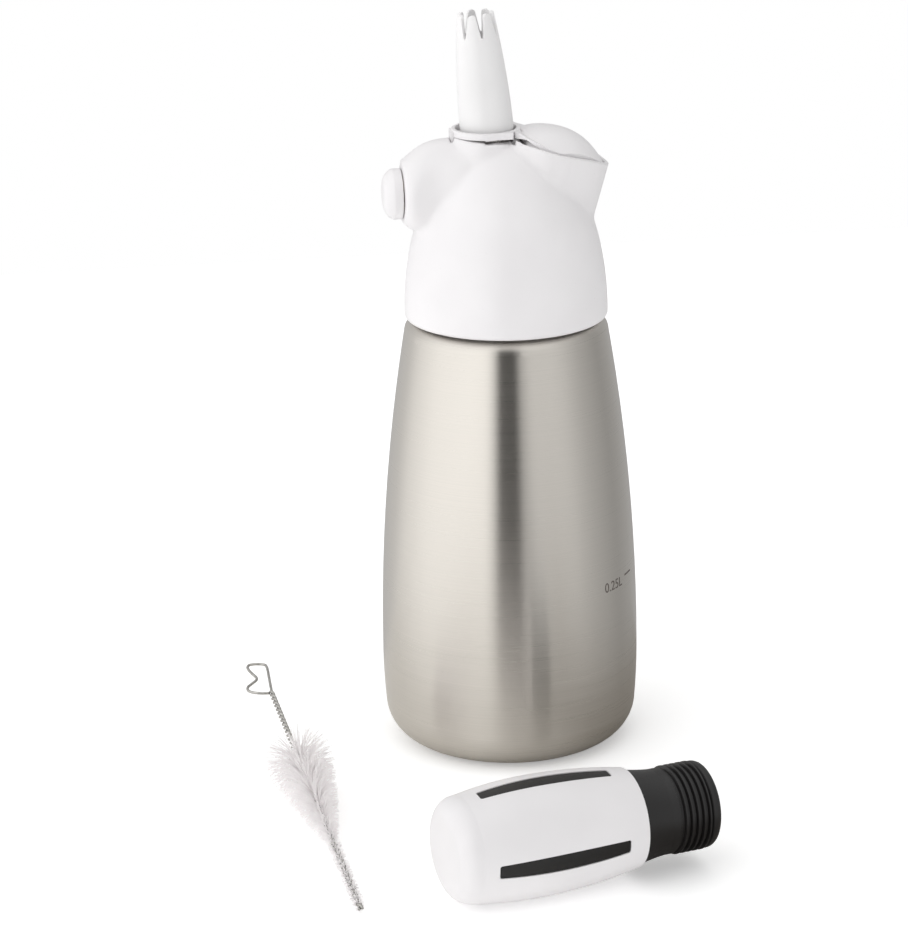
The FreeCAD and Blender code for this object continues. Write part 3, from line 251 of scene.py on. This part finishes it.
# %% Moulded plastic
def moulded_plastic(name, light, dark, rough, grain, relief_depth=0.01 * MM, glow=0.0):
    """Glow is the share of light that passes through the skin and out again."""
    material, tree, place = new_material(name)
    flow = noise(tree, place, scale=45.0, detail=2.0)
    skin = noise(tree, place, scale=1 / grain, detail=4.0, Roughness=0.6)
    relief = add(tree, "ShaderNodeBump", Height=skin, Strength=0.25, Distance=relief_depth)
    finish_material(tree, Base_Color=ramp(tree, flow, [(0.35, dark), (0.65, light)]),
                    Roughness=uneven(tree, skin, rough, by=0.05), Normal=(relief, "Normal"),
                    Subsurface_Weight=glow, Subsurface_Radius=(1, 1, 1), Subsurface_Scale=2 * MM)
    return material


white_abs = moulded_plastic("moulded_white_abs", "#EDEBEC", "#E9E7E8", rough=0.32, grain=0.6 * MM,
                            glow=0.08)
white_barrel = moulded_plastic("moulded_white_barrel_abs", "#E6E4E5", "#E2E0E1", rough=0.38, grain=0.6 * MM,
                               glow=0.08)
white_nozzle = moulded_plastic("moulded_white_nozzle_abs", "#EFEEEE", "#EBEAEA", rough=0.32, grain=0.6 * MM,
                               glow=0.25)
black_pp = moulded_plastic("moulded_black_polypropylene", "#121010", "#0C0B0B", rough=0.42, grain=0.8 * MM,
                           relief_depth=0.02 * MM)
rubber = moulded_plastic("moulded_nitrile_rubber", "#2B2A2A", "#232222", rough=0.62, grain=0.9 * MM,
                         relief_depth=0.03 * MM)
ink = moulded_plastic("printed_grey_ink", "#5E5650", "#544C47", rough=0.5, grain=0.5 * MM)
print("plastics:", [item.name for item in (white_abs, white_barrel, white_nozzle, black_pp, rubber, ink)])

# %% [markdown]
# ## Metals of the small parts
# The valve and the gas port are turned brass with a warm nickel plate.  The stem, the spring, the pins
# and the rolled threads are bright drawn steel.  Both are marked here and there by handling.


# %% Small metals
def small_metal(name, light, dark, rough, grain):
    material, tree, place = new_material(name)
    marks = noise(tree, place, scale=1 / grain, detail=3.0)
    finish_material(tree, Base_Color=two_tones(tree, marks, dark, light), Metallic=1.0,
                    Roughness=uneven(tree, marks, rough, by=0.06))
    return material


plated = small_metal("nickel_plated_brass", "#D9D2BE", "#C9C0A8", rough=0.24, grain=0.7 * MM)
bright = small_metal("drawn_stainless_wire", "#CFCDCA", "#A9A6A2", rough=0.3, grain=0.9 * MM)
print("metals:", plated.name, bright.name)

# %% [markdown]
# ## Materials of the brush
# Nylon filaments are clear enough to let light on to the ones behind.  The wire is galvanised, so it is
# greyer than bright steel.  The crevice between its two strands gets painted shade: an occlusion node
# finds it and darkens the wire's colour there.


# %% Brush materials
def bristle_material():
    material, tree, place = new_material("extruded_nylon_bristle")
    tone = noise(tree, place, scale=300.0, detail=1.0)
    finish_material(tree, Base_Color=two_tones(tree, tone, "#F6F1F2", "#FCF9F9"), Roughness=0.4, IOR=1.53,
                    Subsurface_Weight=0.5, Subsurface_Radius=(1, 1, 1), Subsurface_Scale=1 * MM)
    return material


def twisted_wire_material():
    material, tree, place = new_material("galvanised_brush_wire")
    tint = two_tones(tree, noise(tree, place, scale=900.0, detail=2.0), "#A3A19D", "#C6C4C0")
    # Painted shade: the occlusion ramp darkens the wire's colour in the crevice between its strands.
    crevice = add(tree, "ShaderNodeAmbientOcclusion", {"samples": 8}, Color=tint, Distance=1.2 * MM)
    depth = ramp(tree, (crevice, "AO"), [(0.25, "#1E1D1C"), (0.85, "#FFFFFF")])
    tint_with_painted_shade = mixed(tree, 1.0, tint, depth, blend="MULTIPLY")
    finish_material(tree, Base_Color=tint_with_painted_shade, Metallic=1.0, Roughness=0.34)
    return material


nylon = bristle_material()
brush_steel = twisted_wire_material()
print("brush:", nylon.name, brush_steel.name)

# %% [markdown]
# ## Finishes
# Every solid gets the finish of the real piece, also the ones that only show when the dispenser comes
# apart.

# %% Give the solids their finishes
FINISHES = [
    (steel, ["bottle"]),
    (white_abs, ["head_housing", "lever", "nozzle_tip", "port_cap"]),
    (white_barrel, ["holder_casing"]),
    (black_pp, ["holder_core"]),
    (rubber, ["head_gasket", "check_valve_seal", "charger_seal", "stem_o_ring", "valve_seal"]),
    (plated, ["port_nipple", "valve_bush", "valve_nut"]),
    (bright, ["piercing_pin", "hinge_pin", "return_spring", "brush_wire", "valve_stem"]),
    (nylon, ["brush_bristles", "brush_tail_bristles"]),
]
for finish, members in FINISHES:
    for member in members:
        for material_slot in nodes[member].material_slots:
            material_slot.material = finish
print("finished solids:", sum(len(members) for finish, members in FINISHES))

# %% [markdown]
# ## Soft creases on the head
# The head comes out of one mould, so where its dome, its arm and its wing meet, the skin flows from one
# to the next in a hollow a few millimetres wide.  The solid has plain creases there.  First, its bent
# edges are sorted: the creases to soften lie on the dome's own surface, or on the shoulders beside the
# port.

# %% Find the soft creases
SHARPEST_FLAT = math.radians(9)
CREASES_BOTTOM, CREASES_TOP = 146, 188.5
DOME_MIDDLE, DOME_RADIUS, DOME_RISE = 138.0, 31.1, 55.6
DOME_SKIN = 0.012
SHOULDER_FRONT, SHOULDER_SIDE, SHOULDER_FOOT = 2, 6, 174


def on_a_soft_crease(place):
    x, y, z = place / MM
    if not CREASES_BOTTOM <= z <= CREASES_TOP:
        return False
    dome = (x * x + y * y) / DOME_RADIUS ** 2 + ((z - DOME_MIDDLE) / DOME_RISE) ** 2
    on_shoulder = dome > 1 and x < SHOULDER_FRONT and abs(y) > SHOULDER_SIDE and z > SHOULDER_FOOT
    return abs(dome - 1) < DOME_SKIN or on_shoulder


def crease_points(bm):
    """Points about a millimetre apart along the bent edges that are to be softened."""
    points = []
    for edge in bm.edges:
        if len(edge.link_faces) != 2 or edge.calc_face_angle() <= SHARPEST_FLAT:
            continue
        first, last = (vert.co for vert in edge.verts)
        steps = max(1, int((last - first).length / MM))
        spots = [first.lerp(last, step / steps) for step in range(steps + 1)]
        points += [spot for spot in spots if on_a_soft_crease(spot)]
    return points


head_bm = welded_copy(nodes["head_housing"].data)
creases = crease_points(head_bm)
print("crease points:", len(creases))

# %% [markdown]
# A copy of the head is then remeshed to even little faces, so that there is something to bend near each
# crease.

# %% Remesh the head
GRID_DEPTH = 7
GRID_SHARE = 0.95


def bake_modifiers(piece):
    done = shown_mesh(piece)
    piece.modifiers.clear()
    piece.data = done
    print(piece.name, "faces:", len(done.polygons))


soft_head = keep_piece(head_bm, "soft_head_housing", white_abs)
remesh = soft_head.modifiers.new("even_faces", "REMESH")
remesh.mode = "SHARP"
remesh.octree_depth = GRID_DEPTH
remesh.scale = GRID_SHARE
remesh.use_remove_disconnected = False
remesh.use_smooth_shade = True
bake_modifiers(soft_head)

# %% [markdown]
# A smooth modifier relaxes only the faces near a crease, by a weight that fades with distance.

# %% Relax the head's creases
CREASE_REACH = 4.6 * MM
CREASE_WEIGHT = 1.6
RELAX_ROUNDS = 45
near = KDTree(len(creases))
for number, place in enumerate(creases):
    near.insert(place, number)
near.balance()
relaxed = soft_head.vertex_groups.new(name="relaxed")
for vert in soft_head.data.vertices:
    away = near.find(vert.co)[2]
    if away < CREASE_REACH:
        weight = 1 - away / CREASE_REACH
        relaxed.add([vert.index], min(1.0, CREASE_WEIGHT * weight), "REPLACE")
smoothing = soft_head.modifiers.new("soft_creases", "SMOOTH")
smoothing.factor = 0.5
smoothing.iterations = RELAX_ROUNDS
smoothing.vertex_group = relaxed.name
bake_modifiers(soft_head)
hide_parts("head_housing")
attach(soft_head, "head")

# %% [markdown]
# ## Toothed nozzle
# The nozzle is a thin tube that narrows in one even sweep, and its mouth is cut into seven pointed teeth
# that shape the cream.  Heights run along the nozzle from the point where its leaning axis crosses the
# bottle's.  The end of the wall has one height at each angle, so one formula draws the points, their
# rounded tops and the roots.

# %% Nozzle shape
NOZZLE_LEAN = math.radians(5)
NOZZLE_CROSSING = Vector((0.5, 0, 129)) * MM
NOZZLE_FOOT, NOZZLE_SEAT, NOZZLE_TOP = 65.0, 76.4, 101.0
FOOT_RADIUS, NARROWING, SWEEP = 8.1, 2.65, 1.9
TEETH, TOOTH_DEPTH, TOOTH_TURN = 7, 6.6, math.radians(-84.3)
MOUTH_RADIUS, ROOT_HALF, FLANK_END, POINT_ROUND = 5.8, 0.35, 1.15, 1.3
nozzle_frame = Matrix.Translation(NOZZLE_CROSSING) @ Matrix.Rotation(-NOZZLE_LEAN, 4, "Y")


def tube_radius(height):
    share = (height - NOZZLE_FOOT) / (NOZZLE_TOP - NOZZLE_FOOT)
    return FOOT_RADIUS - NARROWING * max(0.0, share) ** SWEEP


def tooth_top(angle):
    """The height of the wall's end at an angle: a round root, a steep straight flank and a round point."""
    across = (angle - TOOTH_TURN) * TEETH / math.tau
    away = abs(across - round(across)) * math.tau * MOUTH_RADIUS / TEETH
    if away < ROOT_HALF:
        return NOZZLE_TOP - TOOTH_DEPTH - math.sqrt(ROOT_HALF ** 2 - away ** 2)
    if away < FLANK_END:
        up_flank = (FLANK_END - away) / (FLANK_END - ROOT_HALF)
        return NOZZLE_TOP - POINT_ROUND - (TOOTH_DEPTH - POINT_ROUND) * up_flank
    into_point = min(1.0, (away - FLANK_END) / POINT_ROUND)
    return NOZZLE_TOP - POINT_ROUND * (1 - math.sqrt(1 - (1 - into_point) ** 2))


print("tooth roots and points at", tooth_top(TOOTH_TURN), tooth_top(TOOTH_TURN + math.pi / TEETH))

# %% [markdown]
# The wall is made of even columns.  Each one goes up the outside, over a rim whose edge is rounded a
# little, down the inside, and down the wider socket that takes the stem's thread.

# %% Nozzle mesh
COLUMNS, RISES = 392, 26
TUBE_WALL, SOCKET_RADIUS, RIM_ROUND = 1.1, 5.35, 0.25
LEAST_EDGE = math.radians(40)


def column_outline(top):
    """The (radius, height) points of a column whose wall ends at this height."""
    outside = [NOZZLE_FOOT + (top - NOZZLE_FOOT) * rise / RISES for rise in range(RISES + 1)]
    inside = [NOZZLE_SEAT + (top - NOZZLE_SEAT) * rise / RISES for rise in range(RISES, -1, -1)]
    outline = [(tube_radius(height), height) for height in outside[:-1]]
    outline.append((tube_radius(top - RIM_ROUND), top - RIM_ROUND))
    outline.append((tube_radius(top) - RIM_ROUND, top))
    outline += [(tube_radius(height) - TUBE_WALL, height) for height in inside]
    return outline + [(SOCKET_RADIUS, NOZZLE_SEAT), (SOCKET_RADIUS, NOZZLE_FOOT)]


def on_nozzle(radius, angle, height):
    return nozzle_frame @ (Vector((radius * math.cos(angle), radius * math.sin(angle), height)) * MM)


wall = bmesh.new()
columns = []
for number in range(COLUMNS):
    angle = math.tau * number / COLUMNS
    outline = column_outline(tooth_top(angle))
    columns.append([wall.verts.new(on_nozzle(radius, angle, height)) for radius, height in outline])
for number, column in enumerate(columns):
    beside = columns[(number + 1) % COLUMNS]
    for step in range(len(column)):
        following = (step + 1) % len(column)
        wall.faces.new((column[step], beside[step], beside[following], column[following]))
toothed_nozzle = keep_piece(wall, "toothed_nozzle", white_nozzle)
toothed_nozzle.data.set_sharp_from_angle(angle=LEAST_EDGE)
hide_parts("nozzle_tip")
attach(toothed_nozzle, "nozzle")

# %% [markdown]
# ## Cleaning brush
# The brush is two wires twisted together with nylon filaments caught between them.  It is drawn along its
# own axis, and a frame lays it on the floor, leaning on its bristles.

# %% Brush frame
BRUSH_FOOT = Vector((-63.4, -129.1, 1.75)) * MM
BRUSH_ALONG = Vector((-0.0868, 0.992, 0.0906)).normalized()
BRUSH_ACROSS = BRUSH_ALONG.cross(Vector((0, 0, 1))).normalized()
BRUSH_UP = BRUSH_ACROSS.cross(BRUSH_ALONG)
brush_turn = Matrix((BRUSH_ACROSS, BRUSH_UP, BRUSH_ALONG)).transposed().to_4x4()
brush_frame = Matrix.Translation(BRUSH_FOOT) @ brush_turn
print("the brush rises by", round(math.degrees(math.asin(BRUSH_ALONG.z)), 1), "degrees")

# %% [markdown]
# A spin with a rise along its axis draws a wire from one round end face.  Two of them, half a turn apart,
# make the twist.


# %% Twisted wire
def coiled_wire(bm, radius, wire, start, end, pitch, phase=0.0, per_turn=12, sides=8):
    """One wire of radius wire, wound at radius round the local Z axis, from start to end."""
    turns = (end - start) / pitch
    rise = (end - start) * MM
    before = set(bm.verts)
    bmesh.ops.create_circle(bm, segments=sides, radius=wire * MM, cap_ends=True)
    ring = [vert for vert in bm.verts if vert not in before]
    lean = math.atan2(rise / turns, math.tau * radius * MM)
    place = (Matrix.Rotation(phase, 4, "Z") @ Matrix.Translation((radius * MM, 0, start * MM))
             @ Matrix.Rotation(lean - math.pi / 2, 4, "X"))
    bmesh.ops.transform(bm, matrix=place, verts=ring)
    face = next(face for face in bm.faces if set(face.verts) == set(ring))
    steps = int(turns * per_turn)
    bmesh.ops.spin(bm, geom=[face], cent=(0, 0, 0), axis=(0, 0, 1), dvec=(0, 0, rise / steps),
                   angle=math.tau * turns, steps=steps, use_duplicate=False)


STRAND = 0.46
WIRE_START, WIRE_END, WIRE_PITCH = 0.5, 137.5, 5.1
stem = bmesh.new()
for strand in range(2):
    coiled_wire(stem, STRAND, STRAND, WIRE_START, WIRE_END, WIRE_PITCH, phase=math.pi * strand)
bmesh.ops.transform(stem, matrix=brush_frame, verts=stem.verts[:])
twisted_wire = keep_piece(stem, "twisted_wire", brush_steel)

# %% [markdown]
# Past the twist, the wire is bent to a hook-shaped loop to hang the brush by.  It lies flat in the
# brush's frame, so each point of it is a distance across and a distance along.

# %% Hanging loop
LOOP = [(0, 136.6), (0.95, 146.4), (1.9, 155.2), (1.5, 157.8), (-3.2, 158.7), (-4.6, 156.6), (-3.8, 152),
        (-2.3, 147.8), (-5.2, 144.6), (-7, 142.5), (-7, 139.4), (-3.2, 137.4), (-0.6, 137.2)]
LOOP_WIRE = 0.44


def tube_through(name, points, radius, material):
    """A round tube along a smooth spline, as a mesh."""
    curve = bpy.data.curves.new(name, "CURVE")
    curve.dimensions = "3D"
    curve.bevel_depth = radius
    curve.bevel_resolution = 3
    curve.resolution_u = 8
    curve.use_fill_caps = True
    spline = curve.splines.new("NURBS")
    spline.points.add(len(points) - 1)
    for point, place in zip(spline.points, points):
        point.co = (*place, 1)
    spline.order_u = 3
    spline.use_endpoint_u = True
    return keep_piece(curve_as_bmesh(curve), name, material)


loop_points = [brush_frame @ Vector((across * MM, 0, along * MM)) for across, along in LOOP]
hanging_loop = tube_through("hanging_loop", loop_points, LOOP_WIRE * MM, brush_steel)
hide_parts("brush_wire")
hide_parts("brush_wire")

# %% [markdown]
# The twist carries each filament a little further round than the last, so they stand in a spiral.  Each
# one is a thin three-sided cone.  The ones that would reach through the floor bend aside, so they end
# just above it.

# %% Bristles
random.seed(7)
FLOOR_CLEAR, FLOOR_SPREAD = 0.3 * MM, 0.3 * MM
SHORTEST_SHARE = 0.86
LEAN_BACK, LEAN_FORWARD = -12, 6
TIP_SHARE = 0.6


def bristles(name, node, start, end, count, reach, spread, thickness):
    """Filaments caught between the strands: they point both ways from the wire, and turn with its twist."""
    bm = bmesh.new()
    for number in range(count):
        share = (number + random.random()) / count
        along = start + (end - start) * share
        groove = math.tau * (along - WIRE_START) / WIRE_PITCH + math.pi / 2
        angle = groove + math.pi * (number % 2) + random.uniform(-spread, spread)
        length = reach(share) * random.uniform(SHORTEST_SHARE, 1.0)
        lean = math.radians(random.uniform(LEAN_BACK, LEAN_FORWARD))
        level = math.cos(lean)
        local = Vector((math.cos(angle) * level, math.sin(angle) * level, math.sin(lean)))
        out = brush_turn.to_3x3() @ local
        foot = brush_frame @ Vector((0, 0, along * MM))
        tip = foot + out * length * MM
        if tip.z < FLOOR_CLEAR:
            tip.z = FLOOR_CLEAR + random.uniform(0, FLOOR_SPREAD)
            out = (tip - foot).normalized()
            length = (tip - foot).length / MM
        turn = out.to_track_quat("Z", "Y").to_matrix().to_4x4()
        middle = foot + out * length * MM / 2
        bmesh.ops.create_cone(bm, segments=3, cap_ends=True, radius1=thickness * MM,
                              radius2=thickness * TIP_SHARE * MM, depth=length * MM,
                              matrix=Matrix.Translation(middle) @ turn)
    piece = keep_piece(bm, name, nylon, smooth=False)
    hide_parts(node)
    return piece


# %% [markdown]
# The fan widens towards the loop, fast at first and then less, until its last filaments are all as long.
# The tail, at the thin end, is short all along.

# %% Fan and tail
FAN_LEAST, FAN_GROWTH, FAN_HURRY, FAN_CURVE = 1.8, 9.2, 1.1, 0.8
TAIL_LEAST, TAIL_GROWTH = 2.0, 0.3
TAIL_START, FAN_START, FAN_END = 2.5, 41, 95


def fan_reach(share):
    return FAN_LEAST + FAN_GROWTH * min(1, share * FAN_HURRY) ** FAN_CURVE


def tail_reach(share):
    return TAIL_LEAST + TAIL_GROWTH * share


fan = bristles("fan_filaments", "brush_bristles", FAN_START, FAN_END, count=1500, reach=fan_reach,
               spread=1.1, thickness=0.18)
tail = bristles("tail_filaments", "brush_tail_bristles", TAIL_START, FAN_START, count=620,
                reach=tail_reach, spread=0.5, thickness=0.14)
for piece, slot in ((twisted_wire, "bright_steel"), (hanging_loop, "bright_steel"),
                    (fan, "bristle_nylon"), (tail, "bristle_nylon")):
    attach(piece, "cleaning_brush")

# %% [markdown]
# ## Threads
# The neck and the valve's stem carry threads, which show when the head or the nozzle is off.  The neck's
# is rolled into the sheet, so it is round and coarse, and the turned one is fine.  Each is a wire sunk in
# the wall, drawn by the same spin as the brush's twist, so that only its crest stands out.

# %% Threads
THREAD_WIRE_SHARE = 0.3


def thread(name, wall, crest, pitch, start, end, place, body):
    """A round thread: a wire whose crest stands this far out of a wall."""
    bm = bmesh.new()
    wire = pitch * THREAD_WIRE_SHARE
    coiled_wire(bm, wall + crest - wire, wire, start, end, pitch, per_turn=48, sides=12)
    bmesh.ops.transform(bm, matrix=place, verts=bm.verts[:])
    piece = keep_piece(bm, name, bright)
    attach(piece, body)


VALVE_CROSSING = Vector((0, 0, 129)) * MM
valve_frame = Matrix.Translation(VALVE_CROSSING) @ Matrix.Rotation(-NOZZLE_LEAN, 4, "Y")
thread("neck_thread", wall=24.0, crest=0.3, pitch=3.0, start=138.0, end=147.5, place=Matrix.Identity(4),
       body="bottle_body")
thread("stem_thread", wall=5.2, crest=0.12, pitch=1.25, start=65.5, end=75.5, place=valve_frame,
       body="stem")

# %% [markdown]
# ## Return spring
# The spring stands on the head's guide and carries the stem's flange, so it shortens by the stem's
# stroke.  The solid can't, so a copy of its coil, with a mesh of its own, takes its place.

# %% Return spring
coil = bmesh.new()
coil.from_mesh(nodes["return_spring"].data)
coil_spring = keep_piece(coil, "coil_spring", bright, smooth=False)
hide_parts("return_spring")
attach(coil_spring, "head")
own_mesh(coil_spring)

# %% [markdown]
# ## Fill mark
# A quarter-litre level is printed on the steel: figures, and a bar at the level.  The figures are a text
# turned to a mesh.  The bar is a thin plate cut across, so that it can bend.

# %% Figures and bar
FIGURE_SIZE, INK_HALF = 4.3 * MM, 0.06 * MM
BAR_SIZE = Vector((5.0, 0.5, 0.12)) * MM
BAR_PLACE = Vector((9.3, 2.5, 0)) * MM
LONGEST_STRAIGHT = 2 * MM
words = bpy.data.curves.new("fill_mark", "FONT")
words.body = "0.25L"
words.size = FIGURE_SIZE
words.extrude = INK_HALF
words.align_x = "CENTER"
mark = curve_as_bmesh(words)
before = set(mark.verts)
bmesh.ops.create_cube(mark, size=1.0)
bar = [vert for vert in mark.verts if vert not in before]
bmesh.ops.scale(mark, vec=BAR_SIZE, verts=bar)
bmesh.ops.translate(mark, vec=BAR_PLACE, verts=bar)
long_edges = [edge for edge in mark.edges if edge.calc_length() > LONGEST_STRAIGHT]
bmesh.ops.subdivide_edges(mark, edges=long_edges, cuts=6, use_grid_fill=True)
print("fill mark faces:", len(mark.faces))

# %% [markdown]
# The flat mark is then bent round the bottle and left standing a few hundredths of a millimetre proud, as
# ink is.  The bottle tapers, so rays cast at it find its radius at each height.

# %% Bend the mark round the bottle
MARK_ANGLE = math.radians(-44.0)
MARK_HEIGHT = 54.4 * MM
MARK_SINK = 0.02 * MM
RAY_START = 100 * MM
bottle_tree = BVHTree.FromObject(nodes["bottle"], bpy.context.evaluated_depsgraph_get())


def wall_radius(angle, height):
    spoke = Vector((math.cos(angle), math.sin(angle), 0))
    hit = bottle_tree.ray_cast(spoke * RAY_START + Vector((0, 0, height)), -spoke)[0]
    return Vector((hit.x, hit.y)).length


for vert in mark.verts:
    height = MARK_HEIGHT + vert.co.y
    angle = MARK_ANGLE + vert.co.x / wall_radius(MARK_ANGLE, height)
    radius = wall_radius(angle, height) + vert.co.z - MARK_SINK
    vert.co = Vector((math.cos(angle) * radius, math.sin(angle) * radius, height))
fill_mark = keep_piece(mark, "fill_mark", ink, smooth=False)
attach(fill_mark, "bottle_body")

# %% [markdown]
# ## Studio floor
# The floor is a pale sheet of paper, kept bright by a little light of its own.  The studio's sizes are in
# metres.

# %% Floor
FLOOR_HALF = 0.6
GRID_CELLS = 12
floor_bm = bmesh.new()
bmesh.ops.create_grid(floor_bm, x_segments=GRID_CELLS, y_segments=GRID_CELLS, size=FLOOR_HALF)
floor_material, floor_tree, floor_place = new_material("matt_paper")
paper = noise(floor_tree, floor_place, scale=3.0, detail=2.0)
paper_tint = two_tones(floor_tree, paper, "#F6F6F6", "#F8F8F8")
finish_material(floor_tree, Base_Color=paper_tint, Roughness=0.9, Emission_Color=(1, 1, 1, 1),
                Emission_Strength=0.3)
floor = keep_piece(floor_bm, "floor", floor_material)
floor.visible_glossy = False

# %% [markdown]
# The white paper would light the steel from below as brightly as the softboxes do.  In the studio the
# paper in front of the bottle lies in the shade of its right side, so reflections get a duller sheet of
# their own, with painted shade that darkens towards +X: it lies a hair above the paper, and only glossy
# rays meet it.

# %% Sheet of painted shade for reflections
SHEET_HALF = (0.125, 0.12, 1)
SHEET_PLACE = (-0.02, -0.048, 0.05 * MM)
SHADE_START, SHADE_END = -0.02, 0.035
shade_bm = bmesh.new()
bmesh.ops.create_grid(shade_bm, x_segments=GRID_CELLS, y_segments=GRID_CELLS, size=1.0)
bmesh.ops.scale(shade_bm, vec=SHEET_HALF, verts=shade_bm.verts[:])
bmesh.ops.translate(shade_bm, vec=SHEET_PLACE, verts=shade_bm.verts[:])
shade_material, shade_tree, shade_place = new_material("shaded_paper")
across_sheet = add(shade_tree, "ShaderNodeSeparateXYZ", Vector=shade_place)
shade_share = spread_over(shade_tree, (across_sheet, "X"), SHADE_START, SHADE_END, 0.0, 1.0)
# Painted shade: the sheet's colour goes from #F2F0EC to #9A958E towards +X, where the bottle's shade would
# fall.
painted_shade_tint = ramp(shade_tree, shade_share, [(0.0, "#F2F0EC"), (1.0, "#9A958E")])
finish_material(shade_tree, Base_Color=painted_shade_tint, Roughness=0.9)
shade = keep_piece(shade_bm, "shade_sheet", shade_material)
shade.visible_camera = False
shade.visible_diffuse = False
shade.visible_transmission = False
shade.visible_shadow = False

# %% [markdown]
# ## Studio light
# A softbox on the left and a dimmer one on the right leave a dark gap between them, which the steel shows
# as a dark stripe.  The room is drawn as a band of light whose brightness depends on the bearing: 0
# degrees is behind the camera, and a negative bearing is on its left.

# %% Band of light
GAP_BRIGHTNESS = 0.06
BRIGHTNESS = [(-180, 0.45), (-131, 0.8), (-111, 1.12), (-81, 1.4), (-35, 1.52), (-22, 1.45), (-15, 1.0),
              (-8, 0.0), (8, 0.0), (14, 0.6), (24, 0.9), (45, 0.9), (60, 0.83), (84, 0.6), (115, 0.42),
              (150, 0.5), (180, 0.5)]
FULL_CIRCLE = 360
round_room = sorted((bearing / FULL_CIRCLE % 1.0, value) for bearing, value in BRIGHTNESS)
band_stops = [(0.0, GAP_BRIGHTNESS)] + round_room + [(1.0, GAP_BRIGHTNESS)]
print("stops of light:", len(band_stops))

# %% [markdown]
# High up, the band gives way to an even ceiling.  The camera itself sees plain white behind the
# dispenser.

# %% World
GAP_AZIMUTH = -98.0
CEILING_START, CEILING_END = 0.55, 0.95
CEILING = (1.2, 1.2, 1.2, 1)
BACKDROP = (1, 1, 1, 1)
world = bpy.data.worlds.new("studio")
bpy.context.scene.world = world
world.use_nodes = True
room = world.node_tree
room.nodes.clear()
direction = add(room, "ShaderNodeTexCoord")
turned = add(room, "ShaderNodeMapping", {"vector_type": "POINT"}, Vector=(direction, "Generated"),
             Rotation=(0, 0, math.radians(180 - GAP_AZIMUTH)))
axes = add(room, "ShaderNodeSeparateXYZ", Vector=(turned, "Vector"))
bearing = add(room, "ShaderNodeMath", {"operation": "ARCTAN2"}, i0=(axes, "Y"), i1=(axes, "X"))
band_share = spread_over(room, (bearing, "Value"), -math.pi, math.pi, 0.0, 1.0)
ceiling_share = spread_over(room, (axes, "Z"), CEILING_START, CEILING_END, 0.0, 1.0)
lit_room = mixed(room, ceiling_share, ramp(room, band_share, band_stops), CEILING)
light_path = add(room, "ShaderNodeLightPath")
seen_light = mixed(room, (light_path, "Is Camera Ray"), lit_room, BACKDROP)
glow = add(room, "ShaderNodeBackground", i0=seen_light, i1=1.0)
add(room, "ShaderNodeOutputWorld", i0=(glow, "Background"))
bpy.context.scene.view_settings.view_transform = "Standard"
print("world nodes:", len(room.nodes))
